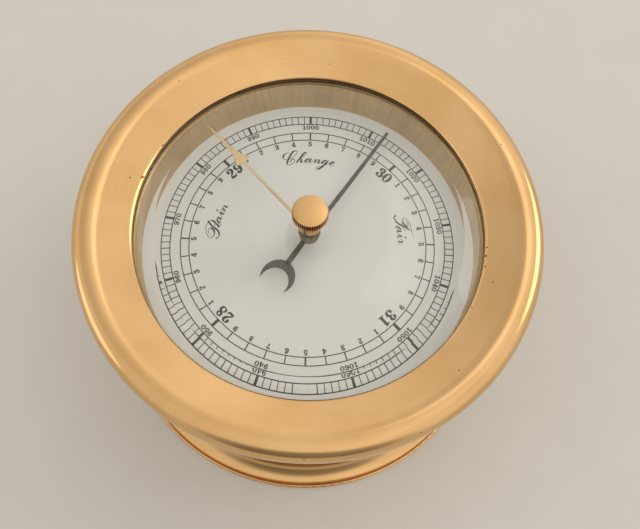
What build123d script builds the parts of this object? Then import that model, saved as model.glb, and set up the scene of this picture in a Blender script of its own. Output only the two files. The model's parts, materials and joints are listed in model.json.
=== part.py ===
from build123d import *

import os
from math import cos, radians, sin, tan

# Ship barometer: an aneroid movement in a spun brass case with a screwed bezel.
# Millimetres. The instrument lies on its back: the origin is the centre of the
# flange's back face, +Z comes out of the dial and +Y points to the dial's top.

# ---- Case ----
BODY_DIAMETER = 119.8
FLANGE_WIDTH = 7.85
FLANGE_LAND = 1.35
FLANGE_COLLAR = 0.5
FLANGE_THICKNESS = 1.8
FLANGE_EDGE_ROUNDING = 0.6
BODY_WALL = 2.0
DIAL_HEIGHT = 62.6
DIAL_THICKNESS = 1.0
LEDGE_WIDTH = 5.9
LEDGE_THICKNESS = 1.4
NECK_BELOW_RETAINER = 0.8
SHOULDER_BELOW_DIAL = 2.6
SHOULDER_WIDTH = 2.6
SHOULDER_THICKNESS = 2.0
MOUNT_HOLE_RADIUS = 1.9
MOUNT_HOLE_COUNT = 3
MOUNT_HOLE_INSET = 4.35
MOUNT_COUNTERSINK_RADIUS = 3.2
MOUNT_HEAD_ROOM_RADIUS = 3.7
MOUNT_LAND = 1.2

# ---- Back cover ----
COVER_THICKNESS = 1.6
COVER_RECESS = 0.6
COVER_LIP_WIDTH = 4.9
COVER_LIP_THICKNESS = 2.0
COVER_SCREW_COUNT = 4
COVER_SCREW_RADIUS = 1.5
COVER_SCREW_HEAD_RADIUS = 2.3
COVER_SCREW_HEAD_HEIGHT = 0.9
ACCESS_HOLE_RADIUS = 4.0

# ---- Bezel, glass and inner ring ----
BEZEL_OVERHANG = 9.95
OPENING_INSET = 5.25
LIP_ABOVE_DIAL = 13.2
LIP_THICKNESS = 1.2
LIP_ROUNDING = 0.4
FACE_SLOPE = 25.2
CROWN_BLEND = 4.6
RIM_ROUNDING = 3.75
RIM_DROP = 1.7
RIM_FOOT_ROUNDING = 0.9
SHELL = 2.2
CHANNEL_STEP = 0.3
COLLAR_WALL = 2.2
GASKET_THICKNESS = 0.8
GLASS_SEAT_WIDTH = 1.7
GLASS_THICKNESS = 3.8
GLASS_EDGE_THICKNESS = 1.4
GLASS_BEVEL_WIDTH = 7.7
GLASS_HOLE_RADIUS = 2.6
SEAL_THICKNESS = 0.3
RETAINER_HEIGHT = 1.6
RETAINER_WIDTH = 2.0
RING_WALL = 1.1
RING_FOOT_THICKNESS = 0.8
RING_TOP_INSET = 1.05
RING_FOOT_INSET = 2.25

# ---- Set hand ----
SET_HAND_ANGLE = -42.6
SET_HAND_TIP_GAP = 1.8
SET_HAND_THICKNESS = 0.3
SET_NEEDLE_ROOT_HALF_WIDTH = 0.6
SET_NEEDLE_HALF_WIDTH = 0.3
SET_POINT_LENGTH = 11.2
SET_HEAD_LENGTH = 6.0
SET_HEAD_WAIST = 3.2
SET_HEAD_FILLET = 1.2
SET_BARB_HALF_WIDTH = 2.6
SET_WAIST_HALF_WIDTH = 1.25
SET_NECK_HALF_WIDTH = 0.6
SET_BOSS_RADIUS = 2.6
SET_BOSS_HEIGHT = 0.7
WASHER_THICKNESS = 0.4
WASHER_RADIUS = 3.2
BUSH_FLANGE_RADIUS = 4.0
BUSH_FLANGE_THICKNESS = 0.3
BUSH_WALL = 1.0
KNOB_RADIUS = 5.4
KNOB_HEIGHT = 3.6
KNOB_COLLAR_HEIGHT = 6.1
KNOB_RIDGES = 44
KNOB_RIDGE_DEPTH = 0.35
KNOB_EDGE_BREAK = 0.5
KNOB_DOME = 0.35
KNOB_DOME_SHOULDER = 0.09
KNOB_COLLAR_RADIUS = 3.35
KNOB_COLLAR_GROOVE = 0.25
KNOB_ABOVE_GLASS = 0.1

# ---- Indicator hand, arbor and drum ----
HAND_ANGLE = 33.6
HAND_TIP_GAP = 5.3
HAND_ABOVE_DIAL = 4.3
HAND_THICKNESS = 0.5
HAND_ROOT_HALF_WIDTH = 0.8
HAND_TIP_HALF_WIDTH = 0.45
TAIL_HALF_WIDTH = 0.85
CRESCENT_CENTRE = 16.3
CRESCENT_RADIUS = 5.5
CRESCENT_BITE_CENTRE = 18.1
CRESCENT_BITE_RADIUS = 4.5
HUB_RADIUS = 3.7
HUB_FOOT_RADIUS = 2.9
HUB_BELOW_SET_HAND = 0.2
HUB_BAND = 1.55
HUB_CUP_DEPTH = 0.8
ARBOR_RADIUS = 1.0
ARBOR_PIVOT_RADIUS = 0.5
DIAL_HOLE_RADIUS = 2.2
DRUM_RADIUS = 1.5
DRUM_FLANGE_RADIUS = 2.5
DRUM_BELOW_DIAL = 15.6
DRUM_WIDTH = 2.8
DRUM_FLANGE_THICKNESS = 0.4
COLLET_RADIUS = 2.2
COLLET_HEIGHT = 1.6
COLLET_ABOVE_DRUM = 3.4
HAIRSPRING_START = 2.35
HAIRSPRING_PITCH = 1.3
HAIRSPRING_HALF_TURNS = 10
HAIRSPRING_STRIP = 0.18
HAIRSPRING_HEIGHT = 0.6
STUD_RADIUS = 0.7

# ---- Movement frame ----
PLATE_MARGIN = 3.0
PLATE_THICKNESS = 1.8
FOOT_INSET = 5.0
FOOT_ANGLES = (90, 225, 315)
FOOT_RADIUS = 2.5
TENON_RADIUS = 1.5
NUT_HEIGHT = 2.4
NUT_RADIUS = 3.2
TENON_PAST_NUT = 0.8
PILLAR_GAP = 1.5
PILLAR_RADIUS = 2.5
BRIDGE_BELOW_DIAL = 8.0
BRIDGE_THICKNESS = 1.6
BRIDGE_HALF_WIDTH = 5.0
BRIDGE_PAST_PILLAR = 4.0
BRIDGE_BUSH_RADIUS = 2.2
BRIDGE_SCREW_RADIUS = 1.2
BRIDGE_SCREW_HEAD = 2.2
BRIDGE_SCREW_DEPTH = 5.0
BRIDGE_TAPPING_DEPTH = 6.0
TOP_SCREW_HEAD_HEIGHT = 1.2
COCK_HALF_WIDTH = 3.0
COCK_INNER_Y = 12.0
COCK_SIDE = 3.0
COCK_FLOOR_BELOW_DRUM = 3.4
COCK_FLOOR_THICKNESS = 1.2
COCK_BUSH_RADIUS = 1.5
COCK_SCREW_RADIUS = 0.9
COCK_SCREW_HEAD = 1.8
COCK_SCREW_DEPTH = 4.0
COCK_ABOVE_STUD = 5.0

# ---- Capsule and main spring ----
CAPSULE_RADIUS = 23.0
CAPSULE_RIM = 1.5
CAPSULE_HALF_HEIGHT = 3.4
CAPSULE_SHEET = 0.4
CAPSULE_WAVE = 0.8
CAPSULE_WAVE_COUNT = 7
CAPSULE_BOSS_RADIUS = 3.0
CAPSULE_BOSS_HEIGHT = 1.6
TOP_STUD_FOOT_RADIUS = 4.0
TOP_STUD_FOOT_HEIGHT = 0.8
TOP_STUD_RADIUS = 1.6
TOP_STUD_ABOVE_SPRING = 2.6
KNIFE_PIN_RADIUS = 0.8
KNIFE_PIN_HALF_LENGTH = 4.0
SPRING_ABOVE_CAPSULE = 5.6
SPRING_THICKNESS = 1.2
SPRING_HALF_WIDTH = 9.0
SPRING_TIP_X = 7.0
SPRING_TIP_HALF_WIDTH = 8.5
SPRING_HOLE_CLEARANCE = 0.6
STAND_PAST_CAPSULE = 2.0
STAND_DEPTH = 9.0
STAND_HALF_WIDTH = 11.0
STAND_WINDOW_HALF_WIDTH = 5.0
STAND_WINDOW_HEIGHT = 9.0
STAND_TAIL_LENGTH = 6.0
STAND_TAIL_HALF_WIDTH = 5.0
STAND_TAIL_THICKNESS = 2.0
STAND_TAIL_GAP = 1.0
CLAMP_THICKNESS = 2.0
CLAMP_SCREW_RADIUS = 1.5
CLAMP_SCREW_HEAD = 2.6
CLAMP_SCREW_SPACING = 10.0
CLAMP_SCREW_DEPTH = 8.0
CLAMP_SCREW_HEAD_HEIGHT = 1.6
ADJUST_SCREW_RADIUS = 2.0
ADJUST_HEAD_RADIUS = 3.0
ADJUST_HEAD_HEIGHT = 2.0
ADJUST_SCREW_BELOW_PLATE = 4.0

# ---- Lever, link and rocking shaft ----
LEVER_HALF_WIDTH = 1.5
LEVER_Y = 6.5
LEVER_THICKNESS = 1.2
LEVER_LAP = 3.5
SHAFT_PAST_CAPSULE = 7.0
SHAFT_ABOVE_PLATE = 5.4
SHAFT_RADIUS = 1.2
SHAFT_HALF_LENGTH = 13.6
SHAFT_PIVOT_RADIUS = 0.6
SHAFT_PIVOT_LENGTH = 1.2
CRANK_LENGTH = 4.0
CRANK_HUB_RADIUS = 2.2
CRANK_THICKNESS = 1.2
CRANK_HALF_WIDTH = 0.8
LINK_PIN_RADIUS = 0.55
LINK_EYE_RADIUS = 1.6
LINK_THICKNESS = 0.8
LINK_WEB_HALF_WIDTH = 0.8
OPEN_PIVOT_CLEARANCE = 0.35
ARM_HUB_RADIUS = 2.4
ARM_HUB_LENGTH = 3.0
ARM_HALF_WIDTH = 0.7
ARM_THICKNESS = 1.4
ARM_PAST_CHAIN = 1.2
CHAIN_THICKNESS = 0.5
CHAIN_HEIGHT = 0.9
BRACKET_HALF_WIDTH = 3.0
BRACKET_THICKNESS = 2.6
BRACKET_ABOVE_SHAFT = 3.5
PIVOT_SCREW_RADIUS = 1.5
PIVOT_SCREW_HEAD_RADIUS = 2.3
PIVOT_SCREW_HEAD_LENGTH = 1.4

# ---- Clearances ----
RUNNING = 0.05
LOOSE = 0.15
SIDE_GAP = 0.3
SLOT_WIDTH = 0.6
SLOT_DEPTH = 0.5
OVERCUT = 1.0


# ---- Heights and radii worked out from the sizes above ----
body_radius = BODY_DIAMETER / 2
body_bore = body_radius - BODY_WALL
flange_radius = body_radius + FLANGE_WIDTH
flare_radius = FLANGE_WIDTH - FLANGE_LAND - FLANGE_COLLAR
dial_back = DIAL_HEIGHT - DIAL_THICKNESS
shoulder_top = DIAL_HEIGHT - SHOULDER_BELOW_DIAL
cover_top = COVER_RECESS + COVER_THICKNESS

bezel_radius = body_radius + BEZEL_OVERHANG
opening_radius = body_bore - OPENING_INSET
lip_top = DIAL_HEIGHT + LIP_ABOVE_DIAL
lip_bottom = lip_top - LIP_THICKNESS
crown_radius = bezel_radius - RIM_ROUNDING
blend_radius = crown_radius - CROWN_BLEND
blend_height = lip_top + (blend_radius - opening_radius) * tan(radians(FACE_SLOPE))
crown_height = blend_height + CROWN_BLEND * tan(radians(FACE_SLOPE) / 2)
rim_height = crown_height - RIM_ROUNDING
rim_foot = rim_height - RIM_DROP - RIM_FOOT_ROUNDING
collar_inner = body_radius + RUNNING
collar_outer = collar_inner + COLLAR_WALL
collar_bottom = shoulder_top + GASKET_THICKNESS
seat_radius = opening_radius + GLASS_SEAT_WIDTH
glass_radius = seat_radius - LOOSE

bevel_slope = (GLASS_THICKNESS - GLASS_EDGE_THICKNESS) / GLASS_BEVEL_WIDTH
glass_edge_top = lip_bottom - SEAL_THICKNESS - bevel_slope * (glass_radius - opening_radius)
glass_bottom = glass_edge_top - GLASS_EDGE_THICKNESS
glass_top = glass_bottom + GLASS_THICKNESS
retainer_bottom = glass_bottom - RETAINER_HEIGHT
neck_top = retainer_bottom - NECK_BELOW_RETAINER
ring_top_radius = opening_radius - RING_TOP_INSET
ring_foot_radius = opening_radius - RING_FOOT_INSET

knob_collar_foot = glass_top + KNOB_ABOVE_GLASS
knob_bottom = knob_collar_foot + KNOB_COLLAR_HEIGHT
knob_top = knob_bottom + KNOB_HEIGHT
bush_bottom = glass_bottom - BUSH_FLANGE_THICKNESS
washer_bottom = bush_bottom - WASHER_THICKNESS
set_hand_bottom = washer_bottom - SET_HAND_THICKNESS
set_boss_bottom = set_hand_bottom - SET_BOSS_HEIGHT
set_hand_length = ring_foot_radius - SET_HAND_TIP_GAP
set_shaft_radius = GLASS_HOLE_RADIUS - RUNNING - BUSH_WALL - RUNNING

hand_bottom = DIAL_HEIGHT + HAND_ABOVE_DIAL
hand_top = hand_bottom + HAND_THICKNESS
hand_length = ring_foot_radius - HAND_TIP_GAP
hub_top = set_boss_bottom - HUB_BELOW_SET_HAND
drum_height = dial_back - DRUM_BELOW_DIAL
collet_height = drum_height + COLLET_ABOVE_DRUM

bridge_top = dial_back - BRIDGE_BELOW_DIAL
bridge_bottom = bridge_top - BRIDGE_THICKNESS
cock_floor_top = drum_height - COCK_FLOOR_BELOW_DRUM
cock_floor_bottom = cock_floor_top - COCK_FLOOR_THICKNESS

stud_top = cock_floor_bottom - COCK_ABOVE_STUD
spring_top = stud_top - TOP_STUD_ABOVE_SPRING
spring_bottom = spring_top - SPRING_THICKNESS
capsule_top = spring_bottom - SPRING_ABOVE_CAPSULE
capsule_rim_height = capsule_top - CAPSULE_HALF_HEIGHT
capsule_bottom = capsule_rim_height - CAPSULE_HALF_HEIGHT
plate_top = capsule_bottom - CAPSULE_BOSS_HEIGHT
plate_bottom = plate_top - PLATE_THICKNESS
stem_end = plate_bottom - NUT_HEIGHT - TENON_PAST_NUT

stand_inner_x = CAPSULE_RADIUS + STAND_PAST_CAPSULE
stand_outer_x = stand_inner_x + STAND_DEPTH
adjust_x = -(stand_outer_x + STAND_TAIL_LENGTH / 2)
plate_radius = stand_outer_x + STAND_TAIL_LENGTH + PLATE_MARGIN
foot_circle = plate_radius - FOOT_INSET
pillar_y = CAPSULE_RADIUS + PILLAR_GAP + PILLAR_RADIUS
bridge_half_length = pillar_y + BRIDGE_PAST_PILLAR

shaft_x = CAPSULE_RADIUS + SHAFT_PAST_CAPSULE
shaft_height = plate_top + SHAFT_ABOVE_PLATE
crank_x = shaft_x - CRANK_LENGTH
lever_pin_height = spring_top + LEVER_THICKNESS / 2
lever_inner_y = LEVER_Y - LEVER_HALF_WIDTH
lever_outer_y = LEVER_Y + LEVER_HALF_WIDTH
link_inner_y = lever_outer_y + SIDE_GAP
link_outer_y = link_inner_y + LINK_THICKNESS
crank_inner_y = link_outer_y + SIDE_GAP
chain_y = -(DRUM_RADIUS + CHAIN_THICKNESS / 2)


# ---- Shape helpers ----
def rz(radius, height):
    """A point of a turned outline, in the XZ plane."""
    return (radius, 0, height)


def turned(*points):
    """Solid of revolution about Z of a closed outline of straight runs."""
    outline = Polyline(*[rz(r, z) for r, z in points], close=True)
    return revolve(make_face(outline), Axis.Z)


def ring(inner, outer, bottom, top):
    """Plain ring or tube about Z."""
    return turned((inner, bottom), (outer, bottom), (outer, top), (inner, top))


def rod(radius, bottom, top, x=0, y=0):
    """Upright round rod."""
    return Pos(x, y, (bottom + top) / 2) * Cylinder(radius, top - bottom)


def rod_along_y(radius, x, z, start, end):
    """Round rod parallel to Y."""
    return Pos(x, (start + end) / 2, z) * Rot(90, 0, 0) * Cylinder(radius, end - start)


def block(x0, x1, y0, y1, z0, z1):
    """Box between two corners."""
    centre = Pos((x0 + x1) / 2, (y0 + y1) / 2, (z0 + z1) / 2)
    return centre * Box(x1 - x0, y1 - y0, z1 - z0)


def around(radius, count, start=90):
    """Points evenly spaced on a circle."""
    angles = [radians(start + 360 * i / count) for i in range(count)]
    return [(radius * cos(a), radius * sin(a)) for a in angles]


def slotted_head(radius, bottom, top, x, y, slot_up=True):
    """Cheese head with a screwdriver slot in its free face."""
    head = rod(radius, bottom, top, x, y)
    floor = top - SLOT_DEPTH if slot_up else bottom
    half = SLOT_WIDTH / 2
    return head - block(x - radius, x + radius, y - half, y + half, floor, floor + SLOT_DEPTH)


def flat(outline, bottom, thickness, angle=0):
    """Flat piece cut to an XY outline, turned clockwise by angle."""
    return Pos(0, 0, bottom) * Rot(0, 0, -angle) * extrude(outline, thickness)


# ---- Case ----
def make_case_drum():
    """Drum wall with the shoulder that the bezel comes down on, and the neck inside it."""
    shoulder_bottom = shoulder_top - SHOULDER_THICKNESS
    shoulder_radius = body_radius + SHOULDER_WIDTH
    return turned(
        (body_bore, 0),
        (body_radius, 0),
        (body_radius, shoulder_bottom),
        (shoulder_radius, shoulder_bottom),
        (shoulder_radius, shoulder_top),
        (body_radius, shoulder_top),
        (body_radius, neck_top),
        (body_bore, neck_top),
    )


def make_mounting_flange():
    """Flared ring soldered round the foot of the drum, with countersunk screw holes."""
    collar_radius = body_radius + FLANGE_COLLAR
    flare_start = collar_radius + flare_radius
    flare_top = FLANGE_THICKNESS + flare_radius
    corner = flare_radius * (1 - sin(radians(45)))
    edge_top = FLANGE_THICKNESS - FLANGE_EDGE_ROUNDING
    edge_middle = FLANGE_EDGE_ROUNDING * sin(radians(45))
    round_start = flange_radius - FLANGE_EDGE_ROUNDING
    outline = Curve() + [
        Polyline(rz(body_radius, 0), rz(flange_radius, 0), rz(flange_radius, edge_top)),
        ThreePointArc(
            rz(flange_radius, edge_top),
            rz(round_start + edge_middle, edge_top + edge_middle),
            rz(round_start, FLANGE_THICKNESS),
        ),
        Line(rz(round_start, FLANGE_THICKNESS), rz(flare_start, FLANGE_THICKNESS)),
        ThreePointArc(
            rz(flare_start, FLANGE_THICKNESS),
            rz(collar_radius + corner, FLANGE_THICKNESS + corner),
            rz(collar_radius, flare_top),
        ),
        Polyline(rz(collar_radius, flare_top), rz(body_radius, flare_top), rz(body_radius, 0)),
    ]
    flange = revolve(make_face(outline), Axis.Z)
    sink_depth = MOUNT_COUNTERSINK_RADIUS - MOUNT_HOLE_RADIUS
    sink_top = MOUNT_LAND + sink_depth
    for x, y in around(flange_radius - MOUNT_HOLE_INSET, MOUNT_HOLE_COUNT):
        sink = Cone(MOUNT_HOLE_RADIUS, MOUNT_COUNTERSINK_RADIUS, sink_depth)
        flange -= Pos(x, y, MOUNT_LAND + sink_depth / 2) * sink
        flange -= rod(MOUNT_HEAD_ROOM_RADIUS, sink_top, flare_top + OVERCUT, x, y)
        flange -= rod(MOUNT_HOLE_RADIUS, -OVERCUT, FLANGE_THICKNESS + OVERCUT, x, y)
    return flange


def make_dial_ledge():
    """Ring soldered in the drum that carries the dial."""
    return ring(body_bore - LEDGE_WIDTH, body_bore, dial_back - LEDGE_THICKNESS, dial_back)


def make_cover_ring():
    """Ring soldered in the back of the drum that the cover is screwed to."""
    top = cover_top + COVER_LIP_THICKNESS
    lip = ring(body_bore - COVER_LIP_WIDTH, body_bore, cover_top, top)
    for x, y in cover_screw_points():
        lip -= rod(COVER_SCREW_RADIUS, cover_top - OVERCUT, top + OVERCUT, x, y)
    return lip


def cover_screw_points():
    """Middle of the ring that the back cover is screwed to."""
    return around(body_bore - COVER_LIP_WIDTH / 2, COVER_SCREW_COUNT, 45)


def make_back_cover():
    """Disc in the back of the case, with an access hole for the adjusting screw."""
    cover = rod(body_bore - LOOSE, COVER_RECESS, cover_top)
    low = COVER_RECESS - OVERCUT
    high = cover_top + OVERCUT
    cover -= rod(ACCESS_HOLE_RADIUS, low, high, adjust_x)
    for x, y in cover_screw_points():
        cover -= rod(COVER_SCREW_RADIUS + RUNNING, low, high, x, y)
        head = COVER_RECESS + COVER_SCREW_HEAD_HEIGHT
        cover -= rod(COVER_SCREW_HEAD_RADIUS + RUNNING, low, head, x, y)
    return cover


def make_back_cover_screws():
    """Screws set flush in the back cover."""
    screws = []
    for x, y in cover_screw_points():
        head_top = COVER_RECESS + COVER_SCREW_HEAD_HEIGHT
        head = slotted_head(COVER_SCREW_HEAD_RADIUS, COVER_RECESS, head_top, x, y, slot_up=False)
        shank = rod(COVER_SCREW_RADIUS, head_top, cover_top + COVER_LIP_THICKNESS, x, y)
        screws.append(head + shank)
    return screws


def make_dial_plate():
    """Flat dial on the ledge, with a hole for the hand arbor."""
    return ring(DIAL_HOLE_RADIUS, body_bore - LOOSE, dial_back, DIAL_HEIGHT)


def make_inner_ring():
    """Satin wall between dial and glass: an L-section ring that stands on the dial."""
    foot_top = DIAL_HEIGHT + RING_FOOT_THICKNESS
    return turned(
        (ring_foot_radius, DIAL_HEIGHT),
        (body_bore - LOOSE, DIAL_HEIGHT),
        (body_bore - LOOSE, foot_top),
        (ring_top_radius + RING_WALL, foot_top),
        (ring_top_radius + RING_WALL, neck_top),
        (ring_top_radius, neck_top),
    )


# ---- Bezel ----
def make_bezel():
    """Spun bezel: dished face, rounded rim, open channel behind it and a screwed collar."""
    half_slope = radians(FACE_SLOPE) / 2
    blend_curve = CROWN_BLEND / sin(radians(FACE_SLOPE))
    blend_middle_radius = crown_radius - blend_curve * sin(half_slope)
    blend_middle_height = crown_height - blend_curve * (1 - cos(half_slope))
    rim_corner = RIM_ROUNDING * sin(radians(45))
    foot_height = rim_foot + RIM_FOOT_ROUNDING
    foot_centre = bezel_radius - RIM_FOOT_ROUNDING
    foot_corner = RIM_FOOT_ROUNDING * sin(radians(45))
    lip_corner = LIP_ROUNDING * (1 - sin(radians(45)))
    rim_inner = bezel_radius - SHELL
    face_start = opening_radius + LIP_ROUNDING
    face_start_height = lip_top + LIP_ROUNDING * tan(radians(FACE_SLOPE))
    outline = Curve() + [
        Polyline(rz(opening_radius, lip_bottom), rz(opening_radius, lip_top - LIP_ROUNDING)),
        ThreePointArc(
            rz(opening_radius, lip_top - LIP_ROUNDING),
            rz(opening_radius + lip_corner, lip_top - lip_corner),
            rz(face_start, face_start_height),
        ),
        Line(rz(face_start, face_start_height), rz(blend_radius, blend_height)),
        ThreePointArc(
            rz(blend_radius, blend_height),
            rz(blend_middle_radius, blend_middle_height),
            rz(crown_radius, crown_height),
        ),
        ThreePointArc(
            rz(crown_radius, crown_height),
            rz(crown_radius + rim_corner, rim_height + rim_corner),
            rz(bezel_radius, rim_height),
        ),
        Line(rz(bezel_radius, rim_height), rz(bezel_radius, foot_height)),
        ThreePointArc(
            rz(bezel_radius, foot_height),
            rz(foot_centre + foot_corner, foot_height - foot_corner),
            rz(foot_centre, rim_foot),
        ),
        Polyline(
            rz(foot_centre, rim_foot),
            rz(rim_inner, rim_foot),
            rz(rim_inner, rim_height),
            rz(crown_radius, crown_height - SHELL),
            rz(max(blend_radius, collar_outer), blend_height - SHELL),
            rz(collar_outer, blend_height - SHELL - CHANNEL_STEP),
            rz(collar_outer, collar_bottom),
            rz(collar_inner, collar_bottom),
            rz(collar_inner, retainer_bottom),
            rz(seat_radius, retainer_bottom),
            rz(seat_radius, lip_bottom),
            rz(opening_radius, lip_bottom),
        ),
    ]
    return revolve(make_face(outline), Axis.Z)


def make_bezel_gasket():
    """Flat ring between the case's shoulder and the bezel's collar."""
    return ring(collar_inner, collar_outer - LOOSE, shoulder_top, collar_bottom)


def bevel_start():
    """Radius where the glass begins to slope down to its edge."""
    return glass_radius - GLASS_BEVEL_WIDTH


def bevel_height(radius):
    """Height of the bevelled top of the glass at a radius."""
    return glass_top - bevel_slope * (radius - bevel_start())


def make_glass():
    """Flat glass with a bevelled edge and a hole for the set-hand bush."""
    return turned(
        (GLASS_HOLE_RADIUS, glass_bottom),
        (glass_radius, glass_bottom),
        (glass_radius, glass_edge_top),
        (bevel_start(), glass_top),
        (GLASS_HOLE_RADIUS, glass_top),
    )


def make_glass_seal():
    """Thin bead of sealing compound between the bevel and the bezel's lip."""
    return turned(
        (glass_radius, glass_edge_top),
        (glass_radius, lip_bottom),
        (opening_radius, lip_bottom),
        (opening_radius, bevel_height(opening_radius)),
    )


def make_glass_retainer():
    """Ring in the bezel's bore that holds the glass up to its lip."""
    return ring(seat_radius - RETAINER_WIDTH, seat_radius, retainer_bottom, glass_bottom)


# ---- Set hand ----
def make_set_bush():
    """Flanged bush in the middle of the glass."""
    outer = GLASS_HOLE_RADIUS - RUNNING
    bore = set_shaft_radius + RUNNING
    flange = ring(bore, BUSH_FLANGE_RADIUS, bush_bottom, glass_bottom)
    return ring(bore, outer, bush_bottom, glass_top) + flange


def make_set_knob():
    """Knurled knob with a grooved collar and the shaft that goes through the glass."""
    ridges = around(KNOB_RADIUS, KNOB_RIDGES)
    valleys = around(KNOB_RADIUS - KNOB_RIDGE_DEPTH, KNOB_RIDGES, 90 + 180 / KNOB_RIDGES)
    outline = [point for pair in zip(ridges, valleys) for point in pair]
    knurled = flat(make_face(Polyline(*outline, close=True)), knob_bottom, KNOB_HEIGHT)
    limit = turned(
        (0, knob_bottom),
        (KNOB_RADIUS - KNOB_EDGE_BREAK, knob_bottom),
        (KNOB_RADIUS, knob_bottom + KNOB_EDGE_BREAK),
        (KNOB_RADIUS, knob_top - KNOB_DOME - KNOB_EDGE_BREAK),
        (KNOB_RADIUS - KNOB_EDGE_BREAK, knob_top - KNOB_DOME),
        (KNOB_RADIUS / 2, knob_top - KNOB_DOME_SHOULDER),
        (0, knob_top),
    )
    collar = rod(KNOB_COLLAR_RADIUS, knob_collar_foot, knob_bottom)
    groove_inner = KNOB_COLLAR_RADIUS - KNOB_COLLAR_GROOVE
    groove_bottom = (knob_collar_foot + knob_bottom) / 2 - KNOB_COLLAR_GROOVE
    groove_top = groove_bottom + 2 * KNOB_COLLAR_GROOVE
    collar -= ring(groove_inner, KNOB_COLLAR_RADIUS + OVERCUT, groove_bottom, groove_top)
    return (knurled & limit) + collar + rod(set_shaft_radius, set_hand_bottom, knob_collar_foot)


def make_set_washer():
    """Spring washer that keeps the set hand where it is turned."""
    return ring(set_shaft_radius + RUNNING, WASHER_RADIUS, washer_bottom, bush_bottom)


def make_set_hand():
    """Gilt needle with an arrow head, and the boss that holds it on the shaft."""
    neck = set_hand_length - SET_POINT_LENGTH
    barb = neck - SET_HEAD_LENGTH
    edge = [
        (SET_NEEDLE_ROOT_HALF_WIDTH, 0),
        (SET_NEEDLE_HALF_WIDTH, barb - SET_HEAD_FILLET),
        (SET_WAIST_HALF_WIDTH, barb - SET_HEAD_FILLET / 2),
        (SET_BARB_HALF_WIDTH, barb),
        (SET_WAIST_HALF_WIDTH, barb + SET_HEAD_WAIST),
        (SET_NECK_HALF_WIDTH, neck),
    ]
    other_edge = [(-x, y) for x, y in reversed(edge)]
    needle = Polyline(*edge, (0, set_hand_length), *other_edge, close=True)
    outline = make_face(needle) + Circle(SET_BOSS_RADIUS)
    hand = flat(outline, set_hand_bottom, SET_HAND_THICKNESS, SET_HAND_ANGLE)
    boss = rod(SET_BOSS_RADIUS, set_boss_bottom, set_hand_bottom)
    return hand + boss - rod(set_shaft_radius, set_hand_bottom, glass_bottom)


# ---- Indicator hand ----
def make_indicator_hand():
    """Blackened steel pointer with a crescent tail, its horns away from the hub."""
    blade = Polyline(
        (-HAND_ROOT_HALF_WIDTH, 0),
        (-HAND_TIP_HALF_WIDTH, hand_length),
        (HAND_TIP_HALF_WIDTH, hand_length),
        (HAND_ROOT_HALF_WIDTH, 0),
        close=True,
    )
    stem_end = CRESCENT_CENTRE - CRESCENT_RADIUS + TAIL_HALF_WIDTH
    stem = Pos(0, -stem_end / 2) * Rectangle(2 * TAIL_HALF_WIDTH, stem_end)
    crescent = Pos(0, -CRESCENT_CENTRE) * Circle(CRESCENT_RADIUS)
    crescent -= Pos(0, -CRESCENT_BITE_CENTRE) * Circle(CRESCENT_BITE_RADIUS)
    outline = make_face(blade) + stem + crescent + Circle(HUB_FOOT_RADIUS)
    hand = flat(outline, hand_bottom, HAND_THICKNESS, HAND_ANGLE)
    return hand - rod(ARBOR_RADIUS, hand_bottom - OVERCUT, hand_top + OVERCUT)


def make_hand_hub():
    """Cup-shaped collet that presses the hand onto its arbor."""
    cup_floor = hub_top - HUB_CUP_DEPTH
    return turned(
        (ARBOR_RADIUS, hand_top),
        (HUB_FOOT_RADIUS, hand_top),
        (HUB_RADIUS, max(hub_top - HUB_BAND, hand_top)),
        (HUB_RADIUS, hub_top),
        (HUB_FOOT_RADIUS, hub_top),
        (HUB_FOOT_RADIUS, cup_floor),
        (ARBOR_RADIUS, cup_floor),
    )


def make_hand_arbor():
    """Arbor from the lower cock, through the bridge and the dial, to the hub."""
    shoulder = cock_floor_top + SIDE_GAP
    pivot = rod(ARBOR_PIVOT_RADIUS, cock_floor_bottom, shoulder)
    return pivot + rod(ARBOR_RADIUS, shoulder, hub_top - HUB_CUP_DEPTH)


def make_chain_drum():
    """Small drum with two flanges that the chain winds on."""
    low = drum_height - DRUM_WIDTH / 2
    high = drum_height + DRUM_WIDTH / 2
    return (
        ring(ARBOR_RADIUS, DRUM_RADIUS, low, high)
        + ring(ARBOR_RADIUS, DRUM_FLANGE_RADIUS, low - DRUM_FLANGE_THICKNESS, low)
        + ring(ARBOR_RADIUS, DRUM_FLANGE_RADIUS, high, high + DRUM_FLANGE_THICKNESS)
    )


def make_hairspring_collet():
    """Collet that holds the inner end of the hairspring."""
    bottom = collet_height - COLLET_HEIGHT / 2
    return ring(ARBOR_RADIUS, COLLET_RADIUS, bottom, bottom + COLLET_HEIGHT)


def make_hairspring():
    """Flat spiral of half circles whose centres alternate, one strip wide."""
    bottom = collet_height - HAIRSPRING_HEIGHT / 2
    reach = HAIRSPRING_START + HAIRSPRING_PITCH * HAIRSPRING_HALF_TURNS
    spiral = None
    for turn in range(HAIRSPRING_HALF_TURNS):
        radius = HAIRSPRING_START + turn * HAIRSPRING_PITCH / 2
        side = 1 if turn % 2 == 0 else -1
        shift = 0 if side == 1 else -HAIRSPRING_PITCH / 2
        strip = Circle(radius + HAIRSPRING_STRIP / 2) - Circle(radius - HAIRSPRING_STRIP / 2)
        strip &= Pos(side * reach / 2, 0) * Rectangle(reach, 2 * reach)
        half = flat(Pos(0, shift) * strip, bottom, HAIRSPRING_HEIGHT)
        spiral = half if spiral is None else spiral + half
    return spiral


def hairspring_end_y():
    """Where the outer end of the spiral comes to."""
    return -(HAIRSPRING_START + HAIRSPRING_HALF_TURNS * HAIRSPRING_PITCH / 2)


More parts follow.
